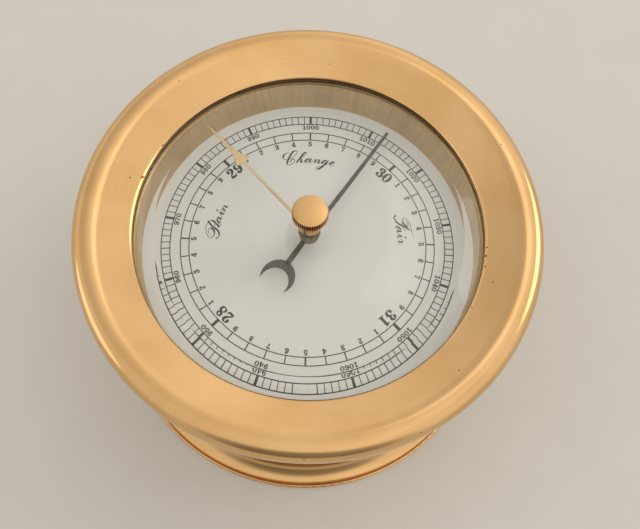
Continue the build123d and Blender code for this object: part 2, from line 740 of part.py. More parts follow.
def make_hairspring_stud():
    """Peg under the top bridge that holds the outer end of the hairspring."""
    y = hairspring_end_y() - HAIRSPRING_STRIP / 2 - STUD_RADIUS
    return rod(STUD_RADIUS, collet_height - HAIRSPRING_HEIGHT, bridge_bottom, 0, y)


# ---- Movement frame ----
def foot_points():
    """Places of the three dial feet."""
    angles = [radians(a) for a in FOOT_ANGLES]
    return [(foot_circle * cos(a), foot_circle * sin(a)) for a in angles]


def make_movement_plate():
    """Round base plate that carries the whole movement."""
    plate = rod(plate_radius, plate_bottom, plate_top)
    low = plate_bottom - OVERCUT
    high = plate_top + OVERCUT
    for x, y in foot_points() + [(0, pillar_y), (0, -pillar_y), (0, 0)]:
        plate -= rod(TENON_RADIUS, low, high, x, y)
    return plate - rod(ADJUST_SCREW_RADIUS + RUNNING, low, high, adjust_x)


def make_dial_feet():
    """Pillars that hang the base plate from the dial."""
    feet = []
    for x, y in foot_points():
        tenon = rod(TENON_RADIUS, stem_end, plate_top, x, y)
        feet.append(tenon + rod(FOOT_RADIUS, plate_top, dial_back, x, y))
    return feet


def make_nut(x, y):
    """Hexagon nut against the underside of the base plate."""
    outline = RegularPolygon(NUT_RADIUS, 6) - Circle(TENON_RADIUS)
    return Pos(x, y, plate_bottom - NUT_HEIGHT) * extrude(outline, NUT_HEIGHT)


def make_bridge_pillars():
    """Two pillars riveted in the base plate under the top bridge."""
    pillars = []
    for y in (-pillar_y, pillar_y):
        pillar = rod(PILLAR_RADIUS, plate_top, bridge_bottom, 0, y)
        pillar -= rod(BRIDGE_SCREW_RADIUS, bridge_bottom - BRIDGE_TAPPING_DEPTH, bridge_bottom, 0, y)
        pillars.append(pillar + rod(TENON_RADIUS, plate_bottom, plate_top, 0, y))
    return pillars


def cock_screw_y():
    """Middle of the cock's side walls."""
    return COCK_INNER_Y + COCK_SIDE / 2


def make_top_bridge():
    """Bar across the pillars that carries the upper bush."""
    half = bridge_half_length - BRIDGE_HALF_WIDTH
    low = bridge_bottom - OVERCUT
    high = bridge_top + OVERCUT
    outline = Rectangle(2 * BRIDGE_HALF_WIDTH, 2 * half)
    for y in (-half, half):
        outline += Pos(0, y) * Circle(BRIDGE_HALF_WIDTH)
    bridge = flat(outline, bridge_bottom, BRIDGE_THICKNESS) - rod(BRIDGE_BUSH_RADIUS, low, high)
    for y in (-pillar_y, pillar_y):
        bridge -= rod(BRIDGE_SCREW_RADIUS, low, high, 0, y)
    for y in (-cock_screw_y(), cock_screw_y()):
        bridge -= rod(COCK_SCREW_RADIUS, low, high, 0, y)
    return bridge


def make_top_screws(radius, head_radius, depth, offset):
    """Two slotted screws through the top bridge."""
    screws = []
    for y in (-offset, offset):
        head = slotted_head(head_radius, bridge_top, bridge_top + TOP_SCREW_HEAD_HEIGHT, 0, y)
        screws.append(head + rod(radius, bridge_bottom - depth, bridge_top, 0, y))
    return screws


def make_upper_bush():
    """Bush in the top bridge for the hand arbor."""
    return ring(ARBOR_RADIUS + RUNNING, BRIDGE_BUSH_RADIUS, bridge_bottom, bridge_top)


def make_lower_cock():
    """Stirrup under the top bridge that carries the arbor's lower end."""
    outer_y = COCK_INNER_Y + COCK_SIDE
    wide = COCK_HALF_WIDTH + OVERCUT
    cock = block(-COCK_HALF_WIDTH, COCK_HALF_WIDTH, -outer_y, outer_y, cock_floor_bottom, bridge_bottom)
    cock -= block(-wide, wide, -COCK_INNER_Y, COCK_INNER_Y, cock_floor_top, bridge_bottom + OVERCUT)
    for y in (-cock_screw_y(), cock_screw_y()):
        cock -= rod(COCK_SCREW_RADIUS, bridge_bottom - COCK_SCREW_DEPTH, bridge_bottom + OVERCUT, 0, y)
    return cock - rod(COCK_BUSH_RADIUS, cock_floor_bottom - OVERCUT, cock_floor_top + OVERCUT)


def make_lower_bush():
    """Bush in the cock for the arbor's lower pivot."""
    return ring(ARBOR_PIVOT_RADIUS + RUNNING, COCK_BUSH_RADIUS, cock_floor_bottom, cock_floor_top)


# ---- Capsule and main spring ----
def make_capsule_half(upper):
    """Corrugated half of the vacuum capsule, with a flat rim."""
    shoulder = CAPSULE_RADIUS - CAPSULE_RIM
    rim_bottom = CAPSULE_HALF_HEIGHT - CAPSULE_SHEET
    step = shoulder / CAPSULE_WAVE_COUNT
    waves = [(step * i, CAPSULE_WAVE * (i % 2)) for i in range(1, CAPSULE_WAVE_COUNT)]
    profile = [(0, 0)] + waves + [(shoulder, 0), (shoulder, rim_bottom), (CAPSULE_RADIUS, rim_bottom)]
    profile += [(CAPSULE_RADIUS, CAPSULE_HALF_HEIGHT), (shoulder - CAPSULE_SHEET, CAPSULE_HALF_HEIGHT)]
    profile += [(shoulder - CAPSULE_SHEET, CAPSULE_SHEET)]
    profile += [(r, z + CAPSULE_SHEET) for r, z in reversed(waves)] + [(0, CAPSULE_SHEET)]
    if upper:
        return turned(*[(r, capsule_top - z) for r, z in profile])
    return turned(*[(r, capsule_bottom + z) for r, z in profile])


def make_capsule_base_stud():
    """Boss under the capsule, with a stem through the base plate."""
    stem = rod(TENON_RADIUS, stem_end, plate_top)
    return stem + rod(CAPSULE_BOSS_RADIUS, plate_top, capsule_bottom)


def knife_pin_height():
    """Middle of the pin that hangs the capsule on the main spring."""
    return spring_top + KNIFE_PIN_RADIUS


def make_capsule_top_stud():
    """Stud on the capsule that comes up through the main spring."""
    foot_top = capsule_top + TOP_STUD_FOOT_HEIGHT
    stud = rod(TOP_STUD_FOOT_RADIUS, capsule_top, foot_top)
    stud += rod(TOP_STUD_RADIUS, foot_top, stud_top)
    reach = TOP_STUD_RADIUS + OVERCUT
    return stud - rod_along_y(KNIFE_PIN_RADIUS, 0, knife_pin_height(), -reach, reach)


def make_knife_edge_pin():
    """Pin through the stud, lying across the top of the main spring."""
    reach = KNIFE_PIN_HALF_LENGTH
    return rod_along_y(KNIFE_PIN_RADIUS, 0, knife_pin_height(), -reach, reach)


def clamp_screw_x():
    """Middle of the stand's top."""
    return -(stand_outer_x + stand_inner_x) / 2


def clamp_screw_points():
    """Places of the two screws that clamp the main spring."""
    return [(clamp_screw_x(), side * CLAMP_SCREW_SPACING / 2) for side in (-1, 1)]


def make_spring_stand():
    """Cast stand of the main spring, with a window and a tail over the adjusting screw."""
    tail_bottom = plate_top + STAND_TAIL_GAP
    tail_top = tail_bottom + STAND_TAIL_THICKNESS
    window_top = plate_top + STAND_WINDOW_HEIGHT
    tail_end = stand_outer_x + STAND_TAIL_LENGTH
    body_half = STAND_HALF_WIDTH
    window_half = STAND_WINDOW_HALF_WIDTH
    tail_half = STAND_TAIL_HALF_WIDTH
    window_start = -stand_outer_x - OVERCUT
    window_end = -stand_inner_x + OVERCUT
    stand = block(-stand_outer_x, -stand_inner_x, -body_half, body_half, plate_top, spring_bottom)
    stand -= block(window_start, window_end, -window_half, window_half, tail_top, window_top)
    stand += block(-tail_end, -stand_outer_x, -tail_half, tail_half, tail_bottom, tail_top)
    for x, y in clamp_screw_points():
        stand -= rod(CLAMP_SCREW_RADIUS, spring_bottom - CLAMP_SCREW_DEPTH, spring_bottom + OVERCUT, x, y)
    return stand


def make_main_spring():
    """Leaf spring from the stand to just past the capsule's stud."""
    outline = make_face(
        Polyline(
            (-stand_outer_x, -SPRING_HALF_WIDTH),
            (SPRING_TIP_X, -SPRING_TIP_HALF_WIDTH),
            (SPRING_TIP_X, SPRING_TIP_HALF_WIDTH),
            (-stand_outer_x, SPRING_HALF_WIDTH),
            close=True,
        )
    )
    spring = flat(outline, spring_bottom, SPRING_THICKNESS)
    low = spring_bottom - OVERCUT
    high = spring_top + OVERCUT
    spring -= rod(TOP_STUD_RADIUS + SPRING_HOLE_CLEARANCE, low, high)
    for x, y in clamp_screw_points():
        spring -= rod(CLAMP_SCREW_RADIUS, low, high, x, y)
    return spring


def make_spring_clamp():
    """Plate that presses the main spring on its stand."""
    half = SPRING_TIP_HALF_WIDTH
    top = spring_top + CLAMP_THICKNESS
    clamp = block(-stand_outer_x, -stand_inner_x, -half, half, spring_top, top)
    for x, y in clamp_screw_points():
        clamp -= rod(CLAMP_SCREW_RADIUS, spring_top - OVERCUT, top + OVERCUT, x, y)
    return clamp


def make_clamp_screws():
    """Screws of the main spring's clamp."""
    clamp_top = spring_top + CLAMP_THICKNESS
    screws = []
    for x, y in clamp_screw_points():
        head = slotted_head(CLAMP_SCREW_HEAD, clamp_top, clamp_top + CLAMP_SCREW_HEAD_HEIGHT, x, y)
        shank = rod(CLAMP_SCREW_RADIUS, spring_bottom - CLAMP_SCREW_DEPTH, clamp_top, x, y)
        screws.append(head + shank)
    return screws


def make_adjusting_screw():
    """Screw through the base plate, under the stand's tail, turned from the back."""
    head_top = plate_bottom - ADJUST_SCREW_BELOW_PLATE
    head_bottom = head_top - ADJUST_HEAD_HEIGHT
    head = slotted_head(ADJUST_HEAD_RADIUS, head_bottom, head_top, adjust_x, 0, slot_up=False)
    return head + rod(ADJUST_SCREW_RADIUS, head_top, plate_top + STAND_TAIL_GAP - RUNNING, adjust_x)


# ---- Lever, link and rocking shaft ----
def make_main_lever():
    """Bar riveted on the spring's tip that carries its movement out to the link."""
    start = SPRING_TIP_X - LEVER_LAP
    end = crank_x + LINK_EYE_RADIUS
    top = spring_top + LEVER_THICKNESS
    lever = block(start, end, lever_inner_y, lever_outer_y, spring_top, top)
    eye = rod_along_y(LINK_EYE_RADIUS, crank_x, lever_pin_height, lever_inner_y, lever_outer_y)
    bore_radius = LINK_PIN_RADIUS + RUNNING
    bore = rod_along_y(bore_radius, crank_x, lever_pin_height, 0, lever_outer_y + OVERCUT)
    return lever + eye - bore


def make_link_rod():
    """Flat link with a pin in the lever and an open eye on the crank's pin."""
    left = crank_x - LINK_WEB_HALF_WIDTH
    right = crank_x + LINK_WEB_HALF_WIDTH
    web = block(left, right, link_inner_y, link_outer_y, shaft_height, lever_pin_height)
    for height in (shaft_height, lever_pin_height):
        web += rod_along_y(LINK_EYE_RADIUS, crank_x, height, link_inner_y, link_outer_y)
    lower_eye = LINK_PIN_RADIUS + OPEN_PIVOT_CLEARANCE
    web -= rod_along_y(lower_eye, crank_x, shaft_height, link_inner_y - OVERCUT, link_outer_y + OVERCUT)
    return web + rod_along_y(LINK_PIN_RADIUS, crank_x, lever_pin_height, lever_inner_y, link_inner_y)


def make_rocking_shaft():
    """Cross shaft with a small pivot at each end."""
    shaft = rod_along_y(SHAFT_RADIUS, shaft_x, shaft_height, -SHAFT_HALF_LENGTH, SHAFT_HALF_LENGTH)
    reach = SHAFT_HALF_LENGTH + SHAFT_PIVOT_LENGTH
    return shaft + rod_along_y(SHAFT_PIVOT_RADIUS, shaft_x, shaft_height, -reach, reach)


def make_rocking_arm():
    """Upright arm that pulls the chain."""
    hub_start = chain_y - ARM_HUB_LENGTH / 2
    hub_end = chain_y + ARM_HUB_LENGTH / 2
    hub = rod_along_y(ARM_HUB_RADIUS, shaft_x, shaft_height, hub_start, hub_end)
    left = shaft_x - ARM_HALF_WIDTH
    right = shaft_x + ARM_HALF_WIDTH
    front = chain_y - ARM_THICKNESS / 2
    arm = block(left, right, front, front + ARM_THICKNESS, shaft_height, drum_height + ARM_PAST_CHAIN)
    return hub + arm - rod_along_y(SHAFT_RADIUS, shaft_x, shaft_height, hub_start, hub_end)


def make_crank_arm():
    """Short crank on the shaft, with the pin that the link pushes."""
    outer = crank_inner_y + CRANK_THICKNESS
    low = shaft_height - CRANK_HALF_WIDTH
    high = shaft_height + CRANK_HALF_WIDTH
    crank = rod_along_y(CRANK_HUB_RADIUS, shaft_x, shaft_height, crank_inner_y, outer)
    crank += block(crank_x, shaft_x, crank_inner_y, outer, low, high)
    crank += rod_along_y(CRANK_HALF_WIDTH, crank_x, shaft_height, crank_inner_y, outer)
    crank += rod_along_y(LINK_PIN_RADIUS, crank_x, shaft_height, link_inner_y, crank_inner_y)
    return crank - rod_along_y(SHAFT_RADIUS, shaft_x, shaft_height, crank_inner_y, outer)


def bracket_inner_y():
    """Inner face of the brackets."""
    return SHAFT_HALF_LENGTH + SHAFT_PIVOT_LENGTH + SIDE_GAP


def make_shaft_brackets():
    """Two upright brackets for the pivot screws."""
    left = shaft_x - BRACKET_HALF_WIDTH
    right = shaft_x + BRACKET_HALF_WIDTH
    top = shaft_height + BRACKET_ABOVE_SHAFT
    inner = bracket_inner_y()
    outer = inner + BRACKET_THICKNESS
    brackets = []
    for start, end in ((-outer, -inner), (inner, outer)):
        bracket = block(left, right, start, end, plate_top, top)
        brackets.append(bracket - rod_along_y(PIVOT_SCREW_RADIUS, shaft_x, shaft_height, start, end))
    return brackets


def make_pivot_screws():
    """Screws in the brackets whose hollow tips hold the rocking shaft."""
    tip = SHAFT_HALF_LENGTH + RUNNING
    outer = bracket_inner_y() + BRACKET_THICKNESS
    head = outer + PIVOT_SCREW_HEAD_LENGTH
    socket_end = SHAFT_HALF_LENGTH + SHAFT_PIVOT_LENGTH + RUNNING
    shank = rod_along_y(PIVOT_SCREW_RADIUS, shaft_x, shaft_height, tip, outer)
    cap = rod_along_y(PIVOT_SCREW_HEAD_RADIUS, shaft_x, shaft_height, outer, head)
    socket = rod_along_y(SHAFT_PIVOT_RADIUS + RUNNING, shaft_x, shaft_height, tip - OVERCUT, socket_end)
    screw = shank + cap - socket
    return [screw, mirror(screw, Plane.XZ)]


def make_chain():
    """Fine chain from the drum's side to the face of the arm, as one flat strip."""
    front = -DRUM_RADIUS - CHAIN_THICKNESS
    low = drum_height - CHAIN_HEIGHT / 2
    return block(0, shaft_x - ARM_HALF_WIDTH, front, -DRUM_RADIUS, low, low + CHAIN_HEIGHT)


nodes = {
    "case_drum": make_case_drum(),
    "mounting_flange": make_mounting_flange(),
    "dial_ledge": make_dial_ledge(),
    "cover_ring": make_cover_ring(),
    "back_cover": make_back_cover(),
    "back_cover_screws": make_back_cover_screws(),
    "dial_plate": make_dial_plate(),
    "inner_ring": make_inner_ring(),
    "bezel": make_bezel(),
    "bezel_gasket": make_bezel_gasket(),
    "glass": make_glass(),
    "glass_seal": make_glass_seal(),
    "glass_retainer": make_glass_retainer(),
    "set_bush": make_set_bush(),
    "set_knob": make_set_knob(),
    "set_washer": make_set_washer(),
    "set_hand": make_set_hand(),
    "indicator_hand": make_indicator_hand(),
    "hand_hub": make_hand_hub(),
    "hand_arbor": make_hand_arbor(),
    "chain_drum": make_chain_drum(),
    "hairspring_collet": make_hairspring_collet(),
    "hairspring": make_hairspring(),
    "hairspring_stud": make_hairspring_stud(),
    "movement_plate": make_movement_plate(),
    "dial_feet": make_dial_feet(),
    "dial_feet_nuts": [make_nut(x, y) for x, y in foot_points()],
    "bridge_pillars": make_bridge_pillars(),
    "top_bridge": make_top_bridge(),
    "bridge_screws": make_top_screws(BRIDGE_SCREW_RADIUS, BRIDGE_SCREW_HEAD, BRIDGE_SCREW_DEPTH, pillar_y),
    "upper_bush": make_upper_bush(),
    "lower_cock": make_lower_cock(),
    "cock_screws": make_top_screws(COCK_SCREW_RADIUS, COCK_SCREW_HEAD, COCK_SCREW_DEPTH, cock_screw_y()),
    "lower_bush": make_lower_bush(),
    "capsule_lower_half": make_capsule_half(upper=False),
    "capsule_upper_half": make_capsule_half(upper=True),
    "capsule_base_stud": make_capsule_base_stud(),
    "capsule_nut": make_nut(0, 0),
    "capsule_top_stud": make_capsule_top_stud(),
    "knife_edge_pin": make_knife_edge_pin(),
    "spring_stand": make_spring_stand(),
    "main_spring": make_main_spring(),
    "spring_clamp": make_spring_clamp(),
    "clamp_screws": make_clamp_screws(),
    "adjusting_screw": make_adjusting_screw(),
    "main_lever": make_main_lever(),
    "link_rod": make_link_rod(),
    "rocking_shaft": make_rocking_shaft(),
    "rocking_arm": make_rocking_arm(),
    "crank_arm": make_crank_arm(),
    "shaft_brackets": make_shaft_brackets(),
    "pivot_screws": make_pivot_screws(),
    "chain": make_chain(),
}

os.makedirs("parts", exist_ok=True)
for name, shape in nodes.items():
    solid = Compound(children=shape) if isinstance(shape, list) else shape
    export_step(solid, f"parts/{name}.step")
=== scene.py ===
"""Looks of a ship's aneroid barometer: smooth turned brass, printed dial, hands, glass and studio."""

import json
import logging
import math
from dataclasses import dataclass
from enum import Enum

import bpy
import numpy as np
from mathutils import Matrix, Vector


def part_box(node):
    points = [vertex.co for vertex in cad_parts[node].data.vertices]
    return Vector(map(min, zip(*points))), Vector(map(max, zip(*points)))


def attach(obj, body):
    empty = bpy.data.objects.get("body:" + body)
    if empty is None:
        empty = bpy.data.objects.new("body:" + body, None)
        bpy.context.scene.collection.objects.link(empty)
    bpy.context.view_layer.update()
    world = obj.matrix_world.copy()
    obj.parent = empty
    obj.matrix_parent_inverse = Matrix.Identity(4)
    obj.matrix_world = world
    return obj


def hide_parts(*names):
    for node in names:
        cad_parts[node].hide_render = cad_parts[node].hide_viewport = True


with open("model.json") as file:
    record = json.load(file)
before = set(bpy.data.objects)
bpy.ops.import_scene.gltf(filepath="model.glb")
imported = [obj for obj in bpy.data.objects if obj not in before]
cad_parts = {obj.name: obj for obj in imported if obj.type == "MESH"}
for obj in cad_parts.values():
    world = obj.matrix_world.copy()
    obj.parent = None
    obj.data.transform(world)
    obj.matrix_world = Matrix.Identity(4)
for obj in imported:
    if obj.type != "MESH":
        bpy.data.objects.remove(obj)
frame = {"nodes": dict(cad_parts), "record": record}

log = logging.getLogger("barometer")

Tree = bpy.types.NodeTree
Socket = bpy.types.NodeSocket

MM = 0.001
SEGMENTS = 256
SHARP_ANGLE = 32.0

# A soft ramp, and the two values between which most of a noise lies.
SOFT = {"interpolation_type": "SMOOTHSTEP"}
NOISE_SPAN = {1: 0.3, 2: 0.7}
# How often tool lines repeat round the axis, turned or upright, and along it where upright.
TURNED_TURN = 2.5
UPRIGHT_TURN = 55.0
UPRIGHT_STEP = 0.04
SPECK_SHARE = 0.5
STAIN_AND_SHADE_ROUGHENS = 0.35


class Body(Enum):
    """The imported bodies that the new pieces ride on."""

    CASE = "case"
    BEZEL = "bezel"
    SET_HAND = "set_hand"
    INDICATOR = "indicator"


class Grain(Enum):
    """How a metal surface was finished, which sets the way its fine lines run."""

    TURNED = "lines run round the axis"
    UPRIGHT = "lines run along the axis"
    EVEN = "no direction"


# ---- Shapes ----
@dataclass(frozen=True)
class Extent:
    """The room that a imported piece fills, in millimetres."""

    low: float
    high: float
    radius: float


def extent(node: str) -> Extent:
    """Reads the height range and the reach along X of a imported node.

    Args:
        node: name of the node.

    Returns:
        Its extent in millimetres.
    """
    lowest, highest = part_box(node)
    return Extent(lowest.z / MM, highest.z / MM, highest.x / MM)


@dataclass
class Surface:
    """Points in millimetres and the faces on them, one array of corners for each face size."""

    points: np.ndarray
    faces: list[np.ndarray]

    def outward(self) -> "Surface":
        """Turns the faces so that the closed surface has a positive volume.

        The volume is the sum, over the triangles of each face's fan, of the triple product of
        their corners divided by six.

        Returns:
            The surface itself.
        """
        volume = 0.0
        for corners in self.faces:
            start = self.points[corners[:, 0]]
            for k in range(1, corners.shape[1] - 1):
                second, third = self.points[corners[:, k]], self.points[corners[:, k + 1]]
                volume += np.einsum("ij,ij->", start, np.cross(second, third))
        if volume < 0:
            self.faces = [corners[:, ::-1] for corners in self.faces]
        return self

    def turned_by(self, degrees: float) -> "Surface":
        """Turns the points clockwise about the axis, seen from above.

        Args:
            degrees: the angle.

        Returns:
            A new surface.
        """
        c, s = math.cos(math.radians(degrees)), math.sin(math.radians(degrees))
        x, y, z = self.points.T
        return Surface(np.stack([x * c + y * s, y * c - x * s, z], -1), self.faces)


def tube(sections: np.ndarray, closed: bool) -> Surface:
    """Joins a run of sections into one closed skin of quads.

    Point (i, j) is corner j of section i; a quad joins corners j and j + 1 of sections i and
    i + 1, and an open run gets one flat face at each end.

    Args:
        sections: array of run x corners x 3.
        closed: whether the run returns to its first section.

    Returns:
        The skin, with its faces outwards.
    """
    run, corners, _ = sections.shape
    index = np.arange(run * corners).reshape(run, corners)
    rows = np.vstack([index, index[:1]]) if closed else index
    near, far = rows[:-1], rows[1:]
    quads = np.stack([near, np.roll(near, -1, 1), np.roll(far, -1, 1), far], -1).reshape(-1, 4)
    faces = [quads] if closed else [quads, index[:1, ::-1], index[-1:]]
    return Surface(sections.reshape(-1, 3), faces).outward()


def weld(surface: Surface) -> Surface:
    """Merges points at one place, so that a quad with a folded side becomes a triangle.

    Args:
        surface: a surface whose first face array holds quads.

    Returns:
        The welded surface.
    """
    _, first, same = np.unique(
        np.round(surface.points, 6), axis=0, return_index=True, return_inverse=True
    )
    quads = same.ravel()[surface.faces[0]]
    folded = quads == np.roll(quads, 1, axis=1)
    count = folded.sum(1)
    triangles = quads[count == 1][~folded[count == 1]].reshape(-1, 3)
    return Surface(surface.points[first], [quads[count == 0], triangles]).outward()


def turned(profile: np.ndarray, segments: int = SEGMENTS, ripple: np.ndarray | None = None) -> Surface:
    """Sweeps a closed profile of (radius, height) once round the axis.

    A point is (r cos a, r sin a, z) for every profile point and every angle a.

    Args:
        profile: array of corners x 2.
        segments: number of steps round the axis.
        ripple: change of radius, segments x corners, or None.

    Returns:
        The turned solid, with its poles closed.
    """
    angle = np.arange(segments)[:, None] * math.tau / segments
    radius = profile[None, :, 0] + (0 if ripple is None else ripple)
    height = profile[None, :, 1] + 0 * angle
    sections = np.stack([radius * np.cos(angle), radius * np.sin(angle), height], -1)
    skin = tube(sections, closed=True)
    return weld(skin) if (profile[:, 0] < 1e-6).any() else skin


def arc(r: float, z: float, size: float, start: float, end: float, steps: int = 10) -> np.ndarray:
    """Points of a circular arc in a profile: (r + size sin a, z + size cos a).

    Args:
        r: radius of the arc's centre from the axis.
        z: height of the arc's centre.
        size: radius of the arc.
        start: first angle from straight up, in degrees.
        end: last angle.
        steps: number of spans.

    Returns:
        Array of points x 2.
    """
    angle = np.radians(np.linspace(start, end, steps + 1))
    return np.stack([r + size * np.sin(angle), z + size * np.cos(angle)], -1)


def flat_ring(inner: float, outer: float, low: float, high: float) -> list[tuple[float, float]]:
    """The four corners of a flat ring's section, from two radii and two heights."""
    return [(inner, low), (outer, low), (outer, high), (inner, high)]


def softened(corners: list[tuple[float, float]], size: float, steps: int = 3) -> np.ndarray:
    """Rounds each corner of a closed profile.

    A corner gives way to the quadratic curve (1-t)^2 a + 2t(1-t) corner + t^2 b, where a and b
    lie the given distance before and after it, or a third of the side where that is less.

    Args:
        corners: the sharp corners in order.
        size: distance from a corner to the start of its curve.
        steps: spans in a curve.

    Returns:
        Array of points x 2.
    """
    corner = np.array(corners, float)
    back, ahead = np.roll(corner, 1, 0) - corner, np.roll(corner, -1, 0) - corner
    reach_back = np.linalg.norm(back, axis=1, keepdims=True)
    reach_ahead = np.linalg.norm(ahead, axis=1, keepdims=True)
    a = corner + back * np.minimum(size / reach_back, 1 / 3)
    b = corner + ahead * np.minimum(size / reach_ahead, 1 / 3)
    t = np.linspace(0, 1, steps + 1)[None, :, None]
    curve = (1 - t) ** 2 * a[:, None] + 2 * t * (1 - t) * corner[:, None] + t**2 * b[:, None]
    return curve.reshape(-1, 2)


def smooth_line(knots: np.ndarray, closed: bool, steps: int = 6) -> np.ndarray:
    """Curve through knots: each span is the cubic whose slope at a knot is half the step
    between that knot's neighbours.

    Args:
        knots: array of knots x values.
        closed: whether the curve returns to its first knot.
        steps: points for each span.

    Returns:
        Array of points x values.
    """
    if closed:
        padded = np.vstack([knots[-1:], knots, knots[:2]])
    else:
        padded = np.vstack([2 * knots[:1] - knots[1:2], knots, 2 * knots[-1:] - knots[-2:-1]])
    p0, p1, p2, p3 = padded[:-3], padded[1:-2], padded[2:-1], padded[3:]
    t = (np.arange(steps) / steps)[:, None, None]
    cubic = 2 * p1 + (p2 - p0) * t + (2 * p0 - 5 * p1 + 4 * p2 - p3) * t**2
    cubic = (cubic + (3 * p1 - p0 - 3 * p2 + p3) * t**3) / 2
    line = cubic.transpose(1, 0, 2).reshape(-1, knots.shape[1])
    return line if closed else np.vstack([line, knots[-1:]])


def ribbon(line: np.ndarray, width: np.ndarray, low: float, high: float, closed: bool) -> Surface:
    """Flat stroke: the line moved half a width to each side along its normal, then made solid.

    Args:
        line: array of points x 2.
        width: width at each point.
        low: height of the underside.
        high: height of the top.
        closed: whether the stroke is a loop.

    Returns:
        The solid stroke.
    """
    if closed:
        along = np.roll(line, -1, 0) - np.roll(line, 1, 0)
    else:
        along = np.gradient(line, axis=0)
    along /= np.linalg.norm(along, axis=1, keepdims=True)
    side = np.stack([-along[:, 1], along[:, 0]], -1) * width[:, None] / 2
    left, right = line + side, line - side
    floor, roof = np.full((len(line), 1), low), np.full((len(line), 1), high)
    ring = [np.hstack(pair) for pair in ((left, floor), (left, roof), (right, roof), (right, floor))]
    return tube(np.stack(ring, 1), closed)


def blade(y: np.ndarray, half: np.ndarray, low: float, high: float, edge: float) -> Surface:
    """Thin hand along Y with a small bevel on its upper edges.

    A section at y has its foot at -half and +half, rises straight to the bevel, and is flat on top.

    Args:
        y: places along the hand, from the axis.
        half: half width at each place.
        low: height of the underside.
        high: height of the top.
        edge: size of the bevel.

    Returns:
        The solid hand.
    """
    bevel = np.minimum(edge, half * 0.6)
    across = [-half, -half, -half + bevel, half - bevel, half, half]
    level = [low, high - edge, high, high, high - edge, low]
    ring = [np.stack([x, y, np.full_like(y, z)], -1) for x, z in zip(across, level)]
    return tube(np.stack(ring, 1), closed=False)


def make_piece(
    name: str, parts: list[Surface], finish: bpy.types.Material, body: Body,
    stands_for: tuple[str, ...] = (),
) -> bpy.types.Object:
    """Puts surfaces into one mesh object, gives it its material and body, and hides the CAD nodes that it
    replaces.

    Args:
        name: name of the piece.
        parts: its surfaces, in millimetres.
        finish: its material.
        body: the body that it rides on.
        stands_for: the CAD nodes that it replaces.

    Returns:
        The new object.
    """
    points = np.vstack([part.points for part in parts]) * MM
    base = np.cumsum([0] + [len(part.points) for part in parts])
    faces = [corners + base[i] for i, part in enumerate(parts) for corners in part.faces]
    total = np.concatenate([np.full(len(f), f.shape[1]) for f in faces])
    start = np.cumsum(total) - total
    corner = np.concatenate([f.ravel() for f in faces])
    mesh = bpy.data.meshes.new(name)
    mesh.vertices.add(len(points))
    mesh.vertices.foreach_set("co", points.astype(np.float32).ravel())
    mesh.loops.add(len(corner))
    mesh.loops.foreach_set("vertex_index", corner.astype(np.int32))
    mesh.polygons.add(len(total))
    mesh.polygons.foreach_set("loop_start", start.astype(np.int32))
    mesh.polygons.foreach_set("use_smooth", np.ones(len(total), bool))
    mesh.update(calc_edges=True)
    mesh.validate()
    mesh.set_sharp_from_angle(angle=math.radians(SHARP_ANGLE))
    mesh.materials.append(finish)
    piece = bpy.data.objects.new(name, mesh)
    bpy.context.scene.collection.objects.link(piece)
    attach(piece, body.value)
    if stands_for:
        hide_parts(*stands_for)
    log.info("%s: %d faces, rides on %s", name, len(total), body.value)
    return piece


# ---- Finishes ----
def linear(code: str) -> tuple[float, float, float, float]:
    """Turns an sRGB hex colour to the linear values that the shader takes.

    Args:
        code: six hex digits.

    Returns:
        Red, green, blue and an alpha of one.
    """
    value = np.array([int(code[i : i + 2], 16) for i in (0, 2, 4)]) / 255
    low = value <= 0.04045
    r, g, b = np.where(low, value / 12.92, ((value + 0.055) / 1.055) ** 2.4)
    return float(r), float(g), float(b), 1.0


def add(tree: Tree, kind: str, inputs: dict, out: str | int = 0, **settings: object) -> Socket | None:
    """Adds a node, sets its properties, and links or sets its inputs.

    Args:
        tree: the node tree.
        kind: the node's type, without its ShaderNode prefix.
        inputs: socket name or number to a socket to link, or a value to set.
        out: name or number of the output that is wanted.
        settings: the node's own properties.

    Returns:
        That output, or None for a node that has none.
    """
    node = tree.nodes.new("ShaderNode" + kind)
    for key, value in settings.items():
        setattr(node, key, value)
    for key, value in inputs.items():
        if isinstance(value, Socket):
            tree.links.new(value, node.inputs[key])
        else:
            node.inputs[key].default_value = value
    return node.outputs[out] if len(node.outputs) else None


def start_finish(name: str) -> tuple[bpy.types.Material, Tree, Socket]:
    """Makes a material with an empty tree and a place on the object in millimetres.

    Args:
        name: the material's name.

    Returns:
        The material, its tree and the socket with the place.
    """
    material = bpy.data.materials.new(name)
    material.use_nodes = True
    tree = material.node_tree
    tree.nodes.clear()
    place = add(tree, "TexCoord", {}, "Object")
    return material, tree, add(tree, "VectorMath", {0: place, "Scale": 1 / MM}, operation="SCALE")


def polar(tree: Tree, place: Socket) -> list[Socket]:
    """Splits a place into its part across the axis, that part's length, and its height.

    Args:
        tree: the node tree.
        place: the place in millimetres.

    Returns:
        The three sockets.
    """
    x, y, height = add(tree, "SeparateXYZ", {0: place}).node.outputs
    flat = add(tree, "CombineXYZ", {0: x, 1: y})
    return [flat, add(tree, "VectorMath", {0: flat}, "Value", operation="LENGTH"), height]


@dataclass(frozen=True)
class Spot:
    """A tarnish spot: its direction clockwise from the dial's top, radius, height and size."""

    azimuth: float
    radius: float
    height: float
    size: float

    def place(self) -> tuple[float, float, float]:
        """The spot's middle in millimetres."""
        a = math.radians(self.azimuth)
        return self.radius * math.sin(a), self.radius * math.cos(a), self.height


@dataclass(frozen=True)
class Grime:
    """Painted shade that fills a turned part inside a radius, between two heights, in millimetres.

    fade is the width of its edge, ragged how far that edge wanders, and share its strength.
    """

    radius: float
    fade: float
    ragged: float
    low: float
    high: float
    share: float


